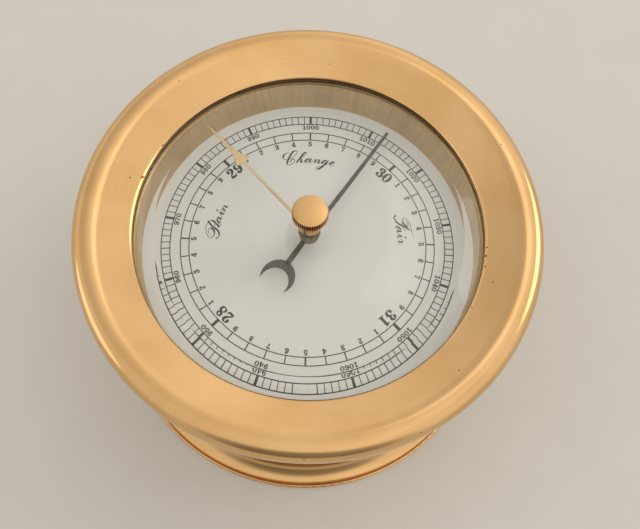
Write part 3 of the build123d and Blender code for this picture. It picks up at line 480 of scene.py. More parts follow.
@dataclass(frozen=True)
class Metal:
    """A bare or lacquered metal with the fine lines that its tool left.

    colour is the clean metal and shade the duller tone that drifts through it. roughness is the
    mean, and uneven its change. pitch_mm is the spacing of the tool lines, and depth_mm their
    height. The stain colour is that of tarnish and of painted shade: spots are the places of tarnish,
    the ring of painted shade darkens a hollow between two heights, and speckle is the share of the
    surface with small stains.
    """

    name: str
    colour: str
    shade: str
    roughness: float
    uneven: float = 0.06
    grain: Grain = Grain.TURNED
    pitch_mm: float = 0.35
    depth_mm: float = 0.002
    streaks: float = 0.10
    stain: str = "7A4A22"
    spots: tuple[Spot, ...] = ()
    speckle: float = 0.0
    lacquer: float = 0.0
    metallic: float = 1.0
    grime: Grime | None = None

    def lines(self, tree: Tree, place: Socket) -> Socket:
        """Fine tool lines: noise that is long one way and short the other.

        For turned work the noise reads (x/r, y/r) times a few turns and (r + z) over the pitch.

        Args:
            tree: the node tree.
            place: the place in millimetres.

        Returns:
            A value from 0 to 1.
        """
        if self.grain is Grain.EVEN:
            vector = add(tree, "VectorMath", {0: place, "Scale": 1 / self.pitch_mm}, operation="SCALE")
        else:
            flat, length, along = polar(tree, place)
            turn, step = UPRIGHT_TURN / self.pitch_mm, UPRIGHT_STEP
            if self.grain is Grain.TURNED:
                along = add(tree, "Math", {0: length, 1: along}, operation="ADD")
                turn, step = TURNED_TURN, 1 / self.pitch_mm
            around = add(tree, "VectorMath", {0: flat}, operation="NORMALIZE")
            run = add(tree, "VectorMath", {0: around, "Scale": turn}, operation="SCALE")
            rise = add(tree, "Math", {0: along, 1: step}, operation="MULTIPLY")
            lift = add(tree, "CombineXYZ", {2: rise})
            vector = add(tree, "VectorMath", {0: run, 1: lift}, operation="ADD")
        return add(tree, "TexNoise", {"Vector": vector, "Scale": 1.0, "Detail": 2.0, "Roughness": 0.6})

    def stains(self, tree: Tree, place: Socket) -> Socket | None:
        """Where the metal is stained or shaded: ragged discs of tarnish at the spots, scattered specks,
        and a ring of painted shade in a hollow.

        The greatest of all the layers counts.

        Args:
            tree: the node tree.
            place: the place in millimetres.

        Returns:
            A value from 0 to 1, or None for clean metal.
        """
        if not (self.spots or self.speckle or self.grime):
            return None
        ragged = add(tree, "TexNoise", {"Vector": place, "Scale": 1.7, "Detail": 3.0})
        layers = []
        for spot in self.spots:
            away = add(tree, "VectorMath", {0: place, 1: spot.place()}, "Value", operation="DISTANCE")
            rough = add(tree, "Math", {0: ragged, 1: spot.size * 1.1, 2: away}, operation="MULTIPLY_ADD")
            ends = {1: spot.size * 1.25, 2: spot.size * 0.75}
            layers.append(add(tree, "MapRange", {"Value": rough, **ends}, **SOFT))
        if self.speckle:
            specks = add(tree, "TexNoise", {"Vector": place, "Scale": 1.1, "Detail": 4.0})
            ends = {1: 0.80 - self.speckle, 2: 0.84 - self.speckle}
            rare = add(tree, "MapRange", {"Value": specks, **ends}, **SOFT)
            layers.append(add(tree, "Math", {0: rare, 1: SPECK_SHARE}, operation="MULTIPLY"))
        # A ring of painted shade: the stain colour darkens a turned part inside a radius, between two
        # heights.
        if self.grime:
            grime = self.grime
            _, length, height = polar(tree, place)
            rough = add(tree, "Math", {0: ragged, 1: grime.ragged, 2: length}, operation="MULTIPLY_ADD")
            end = grime.radius + grime.ragged / 2
            ends = {1: end, 2: end - grime.fade, 4: grime.share}
            shaded_ring = add(tree, "MapRange", {"Value": rough, **ends}, **SOFT)
            above = add(tree, "Math", {0: height, 1: grime.low}, operation="GREATER_THAN")
            below = add(tree, "Math", {0: height, 1: grime.high}, operation="LESS_THAN")
            level = add(tree, "Math", {0: above, 1: below}, operation="MULTIPLY")
            layers.append(add(tree, "Math", {0: shaded_ring, 1: level}, operation="MULTIPLY"))
        total = layers[0]
        for layer in layers[1:]:
            total = add(tree, "Math", {0: total, 1: layer}, operation="MAXIMUM")
        return total

    def build(self) -> bpy.types.Material:
        """Makes the material: drifting tone, tool lines in tone, gloss and bump, and tarnish with painted
        shade.
        """
        material, tree, place = start_finish(self.name)
        lines = self.lines(tree, place)
        drift = add(tree, "TexNoise", {"Vector": place, "Scale": 0.06, "Detail": 3.0})
        blotch = add(tree, "MapRange", {"Value": drift, 1: 0.35, 2: 0.7}, **SOFT)
        ends = {6: linear(self.colour), 7: linear(self.shade)}
        tone = add(tree, "Mix", {0: blotch, **ends}, 2, data_type="RGBA")
        lined = add(tree, "MapRange", {"Value": lines, **NOISE_SPAN, 3: 1 - self.streaks})
        ends = {6: tone, 7: lined}
        colour = add(tree, "Mix", {0: 1.0, **ends}, 2, data_type="RGBA", blend_type="MULTIPLY")
        ends = {3: self.roughness - self.uneven / 2, 4: self.roughness + self.uneven / 2}
        gloss = add(tree, "MapRange", {"Value": lines, **NOISE_SPAN, **ends})
        # Tarnish, specks and painted shade take the stain colour and roughen the surface.
        stain_and_shade = self.stains(tree, place)
        if stain_and_shade is not None:
            ends = {6: colour, 7: linear(self.stain)}
            colour = add(tree, "Mix", {0: stain_and_shade, **ends}, 2, data_type="RGBA")
            rougher = add(tree, "Math", {0: stain_and_shade, 1: STAIN_AND_SHADE_ROUGHENS}, operation="MULTIPLY")
            gloss = add(tree, "Math", {0: gloss, 1: rougher}, operation="ADD", use_clamp=True)
        bump = add(tree, "Bump", {"Strength": 1.0, "Distance": self.depth_mm * MM, "Height": lines})
        sockets = {"Base Color": colour, "Roughness": gloss, "Normal": bump, "Metallic": self.metallic}
        coat = {"Coat Weight": self.lacquer, "Coat Roughness": 0.08}
        shader = add(tree, "BsdfPrincipled", {**sockets, **coat})
        add(tree, "OutputMaterial", {"Surface": shader})
        return material


@dataclass(frozen=True)
class Coating:
    """A matt or half-matt non-metal: enamel paint, printing ink, rubber or sealing compound.

    grit_mm is the size of its surface texture, depth_mm its height, and uneven the change of gloss.
    """

    name: str
    colour: str
    shade: str
    roughness: float
    grit_mm: float
    depth_mm: float
    uneven: float = 0.05

    def build(self) -> bpy.types.Material:
        """Makes the material: two close tones in soft clouds, with a fine even texture."""
        material, tree, place = start_finish(self.name)
        clouds = add(tree, "TexNoise", {"Vector": place, "Scale": 0.05, "Detail": 4.0})
        grit = add(tree, "TexNoise", {"Vector": place, "Scale": 1 / self.grit_mm, "Detail": 2.0})
        ends = {6: linear(self.colour), 7: linear(self.shade)}
        tone = add(tree, "Mix", {0: clouds, **ends}, 2, data_type="RGBA")
        ends = {3: self.roughness - self.uneven, 4: self.roughness + self.uneven}
        gloss = add(tree, "MapRange", {"Value": grit, **NOISE_SPAN, **ends})
        bump = add(tree, "Bump", {"Strength": 1.0, "Distance": self.depth_mm * MM, "Height": grit})
        sockets = {"Base Color": tone, "Roughness": gloss, "Normal": bump}
        add(tree, "OutputMaterial", {"Surface": add(tree, "BsdfPrincipled", sockets)})
        return material


@dataclass(frozen=True)
class ClearGlass:
    """Clear float glass with a polished bevel, almost without tint.

    Light falls through it onto the dial without caustics, because shadow and diffuse rays pass
    straight, while the eye sees true refraction and reflections.
    """

    name: str = "float_glass"
    tint: str = "FDFDFC"
    index: float = 1.5
    wave_mm: float = 0.004

    def build(self) -> bpy.types.Material:
        """Makes the material: smooth glass with faint waves, mixed with clear for light rays."""
        material, tree, place = start_finish(self.name)
        waves = add(tree, "TexNoise", {"Vector": place, "Scale": 0.03, "Detail": 0.0})
        bump = add(tree, "Bump", {"Strength": 1.0, "Distance": self.wave_mm * MM, "Height": waves})
        sockets = {"Base Color": linear(self.tint), "Roughness": 0.0, "IOR": self.index}
        sockets |= {"Transmission Weight": 1.0, "Normal": bump}
        glass = add(tree, "BsdfPrincipled", sockets)
        clear = add(tree, "BsdfTransparent", {"Color": linear(self.tint)})
        path = add(tree, "LightPath", {}).node.outputs
        rays = {0: path["Is Shadow Ray"], 1: path["Is Diffuse Ray"]}
        passing = add(tree, "Math", rays, operation="ADD", use_clamp=True)
        mix = add(tree, "MixShader", {0: passing, 1: glass, 2: clear})
        add(tree, "OutputMaterial", {"Surface": mix})
        return material


# Tarnish on the bezel: dark at the glass, a few freckles on the face, and rubs on the lower rim.
BEZEL_SPOTS = tuple(
    Spot(*row)
    for row in (
        (286.0, 53.3, 76.1, 1.05), (284.0, 56.3, 77.5, 0.55), (299.5, 53.0, 76.0, 0.6),
        (96.2, 53.3, 76.1, 0.6), (99.2, 53.1, 76.0, 0.75), (103.0, 53.4, 76.2, 0.5),
        (108.0, 56.3, 77.5, 0.5), (117.8, 53.4, 76.2, 0.5), (65.2, 64.3, 80.8, 0.45),
        (136.8, 61.0, 79.8, 0.45), (351.8, 57.0, 77.9, 0.35), (5.5, 57.2, 77.9, 0.35),
        (180.2, 69.2, 79.4, 0.5), (171.5, 68.8, 79.8, 0.55), (153.5, 68.9, 79.7, 0.5),
        (40.0, 69.5, 78.5, 0.5), (235.0, 69.4, 78.9, 0.45), (318.0, 63.0, 80.5, 0.4),
    )
)


class Finishes:
    """Every material of the barometer, made once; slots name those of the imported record."""

    def __init__(self) -> None:
        """Makes the finishes."""
        bezel, knob = extent("bezel"), extent("set_knob")
        even, upright = Grain.EVEN, Grain.UPRIGHT
        # Painted shade: the foot of the lip's inner side, where it meets the glass, darkened in the stain
        # colour.
        bezel_lip_shade = Grime(52.95, 0.4, 0.5, bezel.low, bezel.low + 14.15, 0.8)
        # Painted shade: the valleys of the knob's knurled head, darkened in the stain colour.
        knob_valley_shade = Grime(5.38, 0.36, 0.04, knob.high - 3.5, knob.high - 0.55, 0.95)
        # The bezel's polished brass, tarnished in spots at the lip, with painted shade at the lip's foot
        # by the glass.
        self.bezel = Metal(
            "polished_bezel_brass", "E8BD85", "E2B57B", 0.14, 0.03, streaks=0.04, lacquer=0.1,
            spots=BEZEL_SPOTS, speckle=0.03, grime=bezel_lip_shade,
        ).build()
        # Spun brass wall, scratch-brushed: browner and matt, with faint upright lines.
        self.wall = Metal(
            "brushed_wall_brass", "DFC08C", "D1B07C", 0.40, grain=upright, pitch_mm=0.9, streaks=0.18
        ).build()
        # Blackened and greyed hub, mottled by handling: dull, with pale rubbed patches.
        self.hub = Metal(
            "mottled_blackened_hub", "A8A296", "6E695E", 0.5, grain=even, pitch_mm=0.45, streaks=0.45,
            depth_mm=0.01, stain="2E2A25", speckle=0.3, metallic=0.35,
        ).build()
        # Plated bush in the glass: grey-gold and dull.
        self.bush = Metal("plated_brass_bush", "BDB08A", "A3966F", 0.35, pitch_mm=0.3).build()
        # Black pad-printing ink: matt and slightly brown.
        self.ink = Coating("black_printing_ink", "231D16", "2C251D", 0.6, 0.2, 0.001).build()
        slots: dict[str, Metal | Coating | ClearGlass] = {
            # Polished yellow brass under clear lacquer: warm soft mirror, pale where light catches.
            "polished_brass": Metal(
                "polished_yellow_brass", "E6BA80", "E0B47B", 0.15, 0.03, streaks=0.04, lacquer=0.1,
                speckle=0.04,
            ),
            "satin_brass": Metal(
                "brushed_brass_plate", "C9AB78", "B99A68", 0.36, pitch_mm=0.5, streaks=0.15, speckle=0.06
            ),
            # Knurled and lacquered knob: painted shade darkens the valleys of the knurl.
            "knob_brass": Metal(
                "lacquered_knob_brass", "E6BB82", "DBAC70", 0.24, pitch_mm=0.25, depth_mm=0.001,
                streaks=0.04, stain="7A4B22", speckle=0.05, lacquer=0.1, grime=knob_valley_shade,
            ),
            "gilt_brass": Metal("gilt_brass_sheet", "F0D5A2", "E6C893", 0.36, grain=even, pitch_mm=0.3),
            # Cast and turned brass of the movement: duller, with coarse turning lines.
            "movement_brass": Metal(
                "machined_brass", "C8A463", "B68F50", 0.34, pitch_mm=0.4, streaks=0.2, speckle=0.04
            ),
            # Nickel silver capsule: pale grey with round spinning lines.
            "nickel_silver": Metal("nickel_silver", "C9C7BE", "B7B4AA", 0.30, pitch_mm=0.6, streaks=0.12),
            # Bright turned steel: cool grey with fine lines.
            "bright_steel": Metal(
                "bright_turned_steel", "BFC1C2", "A9ABAD", 0.28, pitch_mm=0.2, streaks=0.12
            ),
            # Blued spring steel, tempered: dark blue-grey.
            "spring_steel": Metal(
                "tempered_spring_steel", "6F7684", "5A6070", 0.32, grain=even, pitch_mm=0.3
            ),
            # Blackened steel hand: dark grey, rubbed paler in places.
            "black_steel": Metal(
                "blackened_steel", "5E5B54", "4B4944", 0.46, grain=even, pitch_mm=0.25, streaks=0.25,
                stain="8B8375", speckle=0.13, metallic=0.75,
            ),
            "arbor_copper": Metal(
                "drawn_copper_rod", "B87B55", "A56A46", 0.35, grain=upright, pitch_mm=0.3
            ),
            # Grey cast iron: sandy and dull.
            "grey_iron": Metal(
                "grey_cast_iron", "77767A", "66656A", 0.58, grain=even, pitch_mm=0.5, depth_mm=0.03,
                metallic=0.8,
            ),
            # White enamel paint baked on the dial plate: even, faintly cloudy, half matt.
            "dial_white": Coating("white_dial_enamel", "E0E2E1", "DADCDA", 0.42, 0.6, 0.0015),
            # Moulded rubber gasket: black and matt.
            "black_rubber": Coating("black_nitrile_rubber", "1F1F20", "2A2A2B", 0.7, 0.3, 0.01),
            # Hardened sealing compound: brown, slightly glossy.
            "dark_seal": Coating("dark_glazing_compound", "6B4E2C", "573F22", 0.45, 0.5, 0.02),
            "clear_glass": ClearGlass(),
        }
        self.slots = {slot: finish.build() for slot, finish in slots.items()}

    def dress_nodes(self) -> None:
        """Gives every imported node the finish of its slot."""
        for row in frame["record"]["subparts"]:
            node = frame["nodes"][row["node"]]
            node.data.materials.clear()
            node.data.materials.append(self.slots[row["material_slot"]])
            log.info("%s: wears %s", row["node"], node.data.materials[0].name)


# ---- Bezel, glass and wall ----
@dataclass
class BezelRing:
    """The spun bezel. Radii are from the axis; heights are above the collar's foot, in mm."""

    finishes: Finishes
    opening: float = 52.65
    seat: float = 54.35
    lip_bottom: float = 13.8
    lip_top: float = 15.0
    lip_rounding: float = 0.4
    slope: float = 25.2
    crown_inset: float = 3.75
    blend_width: float = 4.6
    rim_foot: float = 13.842
    rim_foot_rounding: float = 0.9
    shell: float = 2.2
    collar_outer: float = 62.15
    collar_inner: float = 59.95
    web_bottom: float = 10.017

    def profile(self) -> np.ndarray:
        """The section: lip, dished face, crown, rounded rim, open channel, collar and seat.

        The face is straight at its slope; an arc of blend_width / sin(slope) makes it level at
        the crown, and a quarter circle of crown_inset takes the rim down.

        Returns:
            Array of points x 2.
        """
        room = extent("bezel")
        foot, top, outer = room.low, room.high, room.radius
        crown = outer - self.crown_inset
        slope = math.radians(self.slope)
        blend = self.blend_width / math.sin(slope)
        lip_bottom, lip_top = foot + self.lip_bottom, foot + self.lip_top
        face_end = top - blend * (1 - math.cos(slope))
        rim_foot, rim_inner = foot + self.rim_foot, outer - self.shell
        lip_foot = self.opening + self.lip_rounding
        lip_face = lip_top + self.lip_rounding * math.tan(slope)
        face_r = np.linspace(lip_foot, crown - self.blend_width, 14)[1:-1]
        face = np.stack([face_r, lip_face + (face_r - lip_foot) * math.tan(slope)], -1)
        edge = self.rim_foot_rounding
        lip_size = self.lip_rounding
        lip = smooth_line(
            np.array(
                [
                    (self.opening, lip_top - lip_size),
                    (self.opening + lip_size * 0.25, lip_top - lip_size * 0.22), (lip_foot, lip_face),
                ]
            ),
            closed=False,
            steps=4,
        )
        return np.vstack(
            [
                [(self.opening, lip_bottom)],
                lip,
                face,
                arc(crown, top - blend, blend, -self.slope, 0, 16),
                arc(crown, top - self.crown_inset, self.crown_inset, 0, 90, 24)[1:],
                [(outer, (top - self.crown_inset + rim_foot + edge) / 2)],
                arc(outer - edge, rim_foot + edge, edge, 90, 180, 8),
                [
                    (rim_inner, rim_foot), (rim_inner, top - self.crown_inset), (crown, top - self.shell),
                    (self.collar_outer, face_end - self.shell), (self.collar_outer, foot),
                    (self.collar_inner, foot), (self.collar_inner, foot + self.web_bottom),
                    (self.seat, foot + self.web_bottom), (self.seat, lip_bottom),
                ],
            ]
        )

    def build(self) -> None:
        """Turns the bezel."""
        make_piece(
            "bezel_ring", [turned(self.profile(), 288)], self.finishes.bezel, Body.BEZEL,
            ("bezel",),
        )


@dataclass
class Window:
    """The glass with its bevelled edge, the bead that seals it and the ring that holds it."""

    finishes: Finishes
    hole: float = 2.6
    bevel_width: float = 7.7
    edge_thickness: float = 1.4
    edge_break: float = 0.08
    lip_radius: float = 52.65
    holder_width: float = 2.0
    holder_rounding: float = 0.1

    def build(self) -> None:
        """Turns the pane, the bead and the retaining ring."""
        pane, bead, holder = extent("glass"), extent("glass_seal"), extent("glass_retainer")
        start = pane.radius - self.bevel_width
        edge_top = pane.low + self.edge_thickness
        outline = [
            (self.hole, pane.low), (pane.radius, pane.low), (pane.radius, edge_top), (start, pane.high),
            (self.hole, pane.high),
        ]
        make_piece(
            "glass_pane", [turned(softened(outline, self.edge_break, 2))],
            self.finishes.slots["clear_glass"], Body.BEZEL, ("glass",),
        )
        fall = (pane.high - edge_top) / self.bevel_width
        lap = pane.high - fall * (self.lip_radius - start)
        sealing = [
            (pane.radius, edge_top), (pane.radius, bead.high), (self.lip_radius, bead.high),
            (self.lip_radius, lap),
        ]
        make_piece(
            "glazing_bead", [turned(np.array(sealing))], self.finishes.slots["dark_seal"], Body.BEZEL,
            ("glass_seal",),
        )
        ring = flat_ring(holder.radius - self.holder_width, holder.radius, holder.low, holder.high)
        make_piece(
            "retaining_ring", [turned(softened(ring, self.holder_rounding))], self.finishes.wall,
            Body.BEZEL, ("glass_retainer",),
        )


@dataclass
class InnerWall:
    """The brushed wall between dial and glass, an L-section ring that stands on the dial."""

    finishes: Finishes
    foot_radius: float = 48.55
    top_radius: float = 51.6
    wall: float = 1.1
    foot: float = 0.8
    edge_break: float = 0.04

    def build(self) -> None:
        """Turns the ring."""
        room = extent("inner_ring")
        outline = [
            (self.foot_radius, room.low), (room.radius, room.low), (room.radius, room.low + self.foot),
            (self.top_radius + self.wall, room.low + self.foot), (self.top_radius + self.wall, room.high),
            (self.top_radius, room.high),
        ]
        make_piece(
            "inner_wall", [turned(softened(outline, self.edge_break))], self.finishes.wall, Body.CASE,
            ("inner_ring",),
        )


# ---- Lettering ----
# A serif digit is a list of strokes: "o" closed, "s" smooth or "l" straight, then x, y, width for
# each knot, in digit heights. Bowls are thick at their sides, thin at top and foot.
BALL = 0.2
DIGITS: dict[str, tuple[tuple[str, tuple[tuple[float, float, float], ...]], ...]] = {
    "0": (
        ("o", ((0.53, 0.5, 0.2), (0.5, 0.74, 0.17), (0.42, 0.9, 0.1), (0.31, 0.96, 0.07),
               (0.2, 0.9, 0.1), (0.12, 0.74, 0.17), (0.09, 0.5, 0.2), (0.12, 0.26, 0.17),
               (0.2, 0.1, 0.1), (0.31, 0.04, 0.07), (0.42, 0.1, 0.1), (0.5, 0.26, 0.17))),
    ),
    "1": (
        ("l", ((0.34, 0.98, 0.19), (0.34, 0.04, 0.19))),
        ("s", ((0.3, 0.97, 0.05), (0.22, 0.86, 0.09), (0.08, 0.81, 0.06))),
        ("l", ((0.1, 0.035, 0.07), (0.58, 0.035, 0.07))),
    ),
    "2": (
        ("s", ((0.08, 0.7, 0.08), (0.1, 0.84, 0.08), (0.2, 0.93, 0.08), (0.32, 0.955, 0.08),
               (0.45, 0.89, 0.16), (0.5, 0.74, 0.2), (0.44, 0.58, 0.17), (0.3, 0.42, 0.11),
               (0.14, 0.27, 0.07), (0.05, 0.08, 0.06))),
        ("s", ((0.04, 0.06, 0.1), (0.18, 0.1, 0.15), (0.36, 0.06, 0.14), (0.5, 0.1, 0.1),
               (0.56, 0.28, 0.06))),
        ("b", ((0.15, 0.72, BALL),)),
    ),
    "3": (
        ("s", ((0.08, 0.77, 0.07), (0.12, 0.88, 0.07), (0.2, 0.94, 0.08), (0.3, 0.955, 0.08),
               (0.43, 0.89, 0.16), (0.47, 0.75, 0.19), (0.42, 0.6, 0.14), (0.3, 0.535, 0.07),
               (0.2, 0.53, 0.06))),
        ("s", ((0.22, 0.53, 0.06), (0.34, 0.51, 0.08), (0.47, 0.42, 0.16), (0.51, 0.26, 0.2),
               (0.44, 0.1, 0.15), (0.3, 0.045, 0.07), (0.17, 0.06, 0.07), (0.08, 0.14, 0.07),
               (0.06, 0.24, 0.07))),
        ("b", ((0.15, 0.76, BALL),)),
        ("b", ((0.13, 0.23, BALL),)),
    ),
    "4": (
        ("l", ((0.42, 0.97, 0.06), (0.02, 0.28, 0.08))), ("l", ((0.0, 0.27, 0.08), (0.62, 0.27, 0.08))),
        ("l", ((0.43, 0.98, 0.19), (0.43, 0.04, 0.19))),
        ("l", ((0.24, 0.035, 0.07), (0.62, 0.035, 0.07))),
    ),
    "5": (
        ("s", ((0.09, 0.92, 0.12), (0.28, 0.88, 0.15), (0.46, 0.92, 0.1), (0.52, 0.99, 0.04))),
        ("l", ((0.1, 0.97, 0.06), (0.09, 0.5, 0.06))),
        ("s", ((0.09, 0.5, 0.06), (0.18, 0.58, 0.07), (0.3, 0.61, 0.08), (0.44, 0.53, 0.16),
               (0.5, 0.33, 0.2), (0.43, 0.12, 0.15), (0.3, 0.045, 0.07), (0.17, 0.06, 0.07),
               (0.07, 0.15, 0.07), (0.06, 0.24, 0.07))),
        ("b", ((0.13, 0.24, BALL),)),
    ),
    "6": (
        ("s", ((0.52, 0.82, 0.06), (0.48, 0.91, 0.06), (0.4, 0.955, 0.07), (0.3, 0.93, 0.09),
               (0.17, 0.78, 0.16), (0.1, 0.5, 0.2), (0.14, 0.2, 0.17), (0.23, 0.07, 0.09),
               (0.32, 0.045, 0.07), (0.44, 0.12, 0.14), (0.5, 0.3, 0.19), (0.44, 0.48, 0.14),
               (0.33, 0.555, 0.07), (0.2, 0.5, 0.06), (0.12, 0.4, 0.06))),
        ("b", ((0.46, 0.8, BALL),)),
    ),
    "7": (
        ("s", ((0.05, 0.84, 0.08), (0.16, 0.91, 0.15), (0.34, 0.87, 0.15), (0.56, 0.95, 0.08))),
        ("l", ((0.05, 0.99, 0.05), (0.05, 0.7, 0.05))),
        ("s", ((0.57, 0.95, 0.05), (0.44, 0.7, 0.09), (0.32, 0.45, 0.15), (0.27, 0.2, 0.2),
               (0.28, 0.02, 0.2))),
    ),
    "8": (
        ("o", ((0.46, 0.76, 0.14), (0.41, 0.91, 0.1), (0.31, 0.96, 0.06), (0.2, 0.91, 0.11),
               (0.16, 0.76, 0.16), (0.24, 0.6, 0.15), (0.38, 0.53, 0.1), (0.42, 0.62, 0.08))),
        ("o", ((0.51, 0.27, 0.16), (0.44, 0.1, 0.12), (0.31, 0.04, 0.06), (0.17, 0.1, 0.11),
               (0.1, 0.26, 0.14), (0.2, 0.47, 0.07), (0.3, 0.55, 0.12), (0.44, 0.44, 0.17))),
    ),
}
DIGITS["9"] = tuple(
    (kind, tuple((0.62 - x, 1 - y, w) for x, y, w in knots)) for kind, knots in DIGITS["6"]
)

# A script letter is a list of pen strokes, drawn aslant, x and y in word heights, in the order
# that the pen takes them, because the pen presses on its way down.
SCRIPT: dict[str, tuple[tuple[tuple[float, float], ...], ...]] = {
    "C": (
        ((0.4, 0.96), (0.08, 0.9), (-0.16, 0.7), (-0.11, 0.48), (0.16, 0.38), (0.56, 0.48),
         (0.92, 0.66), (1.11, 0.86), (1.0, 0.98), (0.76, 0.95), (0.52, 0.74), (0.24, 0.42),
         (0.04, 0.14), (0.06, -0.02), (0.24, -0.08), (0.52, 0.03), (0.72, 0.22), (0.68, 0.33),
         (0.52, 0.32), (0.26, 0.14)),
    ),
    "h": (
        ((-0.1, 0.08), (0.18, 0.22), (0.56, 0.44), (0.9, 0.67), (0.98, 0.8), (0.84, 0.81),
         (0.6, 0.62), (0.3, 0.3), (0.0, 0.0)),
        ((0.02, 0.02), (0.2, 0.2), (0.4, 0.31), (0.5, 0.26), (0.42, 0.12), (0.38, 0.02),
         (0.46, 0.0), (0.66, 0.12)),
    ),
    "a": (
        ((0.5, 0.28), (0.36, 0.33), (0.14, 0.21), (0.02, 0.06), (0.09, -0.02), (0.26, 0.08),
         (0.44, 0.23), (0.58, 0.34)),
        ((0.58, 0.34), (0.48, 0.2), (0.4, 0.05), (0.46, -0.02), (0.6, 0.05), (0.78, 0.17)),
    ),
    "n": (
        ((-0.05, 0.2), (0.06, 0.31), (0.15, 0.27), (0.1, 0.14), (0.0, 0.0)),
        ((0.0, 0.0), (0.18, 0.2), (0.36, 0.32), (0.44, 0.25), (0.36, 0.1), (0.32, 0.01),
         (0.42, -0.01), (0.6, 0.12)),
    ),
    "g": (
        ((0.5, 0.28), (0.36, 0.33), (0.14, 0.21), (0.02, 0.06), (0.09, -0.02), (0.26, 0.08),
         (0.44, 0.23), (0.58, 0.34)),
        ((0.58, 0.34), (0.4, 0.08), (0.18, -0.18), (-0.06, -0.42), (-0.26, -0.5), (-0.34, -0.42),
         (-0.2, -0.3), (0.1, -0.18), (0.4, -0.02), (0.7, 0.14)),
    ),
    "e": (
        ((0.0, 0.1), (0.2, 0.16), (0.38, 0.27), (0.36, 0.34), (0.24, 0.32), (0.09, 0.19),
         (0.03, 0.06), (0.1, -0.02), (0.26, 0.0), (0.44, 0.12)),
    ),
    "i": (
        ((-0.06, 0.14), (0.1, 0.3), (0.17, 0.33), (0.1, 0.18), (0.03, 0.04), (0.08, -0.02),
         (0.2, 0.04), (0.34, 0.15)),
        ((0.305, 0.565), (0.315, 0.575)),
    ),
    "r": (
        ((-0.06, 0.14), (0.06, 0.28), (0.14, 0.36), (0.19, 0.33), (0.3, 0.31), (0.27, 0.24),
         (0.18, 0.1), (0.16, 0.0), (0.26, -0.01), (0.44, 0.12)),
    ),
    "R": (
        ((-0.73, 0.42), (-0.52, 0.69), (-0.35, 0.85), (-0.19, 0.72), (-0.23, 0.49), (-0.42, 0.26),
         (-0.72, 0.21), (-0.89, 0.37), (-0.72, 0.75), (-0.29, 1.07), (0.02, 1.12), (0.27, 1.02),
         (0.39, 0.85), (0.33, 0.6), (0.2, 0.44), (-0.02, 0.45)),
        ((0.33, 1.15), (0.22, 1.0), (0.02, 0.71), (-0.14, 0.33), (-0.3, 0.0), (-0.53, -0.21),
         (-0.79, -0.23), (-0.87, -0.14)),
        ((0.12, 0.44), (0.19, 0.34), (0.1, 0.18), (0.0, 0.04), (0.05, -0.03), (0.24, -0.01)),
    ),
    "F": (
        ((-0.14, 0.77), (0.07, 0.93), (0.25, 0.93), (0.28, 0.81), (0.17, 0.68), (-0.04, 0.55),
         (-0.23, 0.54), (-0.35, 0.64), (-0.33, 0.8), (-0.14, 0.96), (0.11, 1.09), (0.47, 1.15),
         (0.8, 1.16), (1.09, 1.22)),
        ((0.65, 1.05), (0.4, 0.77), (0.21, 0.47), (0.05, 0.21), (-0.17, -0.02), (-0.39, -0.12),
         (-0.58, -0.17), (-0.65, -0.02)),
        ((-0.08, 0.39), (0.09, 0.46), (0.35, 0.44), (0.46, 0.52), (0.62, 0.73)),
    ),
}
SCRIPT_ADVANCE = {
    "C": 0.76, "h": 0.68, "a": 0.76, "n": 0.58, "g": 0.66, "e": 0.5, "i": 0.34, "r": 0.4,
    "R": 0.36, "F": 0.24,
}
SCRIPT_BALLS = {"i": ((0.31, 0.57, 0.15),), "R": ((-0.86, -0.12, 0.14),), "F": ((-0.63, -0.02, 0.16),)}
# R and F are drawn tall and upright. This matrix widens, lowers and leans them (x and y for each x,
# then for each y), and the move sets each on its line.
CAPITAL_SHAPE = np.array([(1.18, -0.12), (0.0, 0.85)])
CAPITAL_MOVE = {"R": (0.05, 0.0), "F": (0.06, 0.17)}


def in_place(letter: str, knots: tuple[tuple[float, ...], ...]) -> np.ndarray:
    """Knots of a script letter, with R and F shaped and moved.

    Args:
        letter: the letter.
        knots: its knots, x and y first.

    Returns:
        Array of knots x values.
    """
    points = np.array(knots)
    if letter in CAPITAL_MOVE:
        points[:, :2] = points[:, :2] @ CAPITAL_SHAPE + CAPITAL_MOVE[letter]
    return points


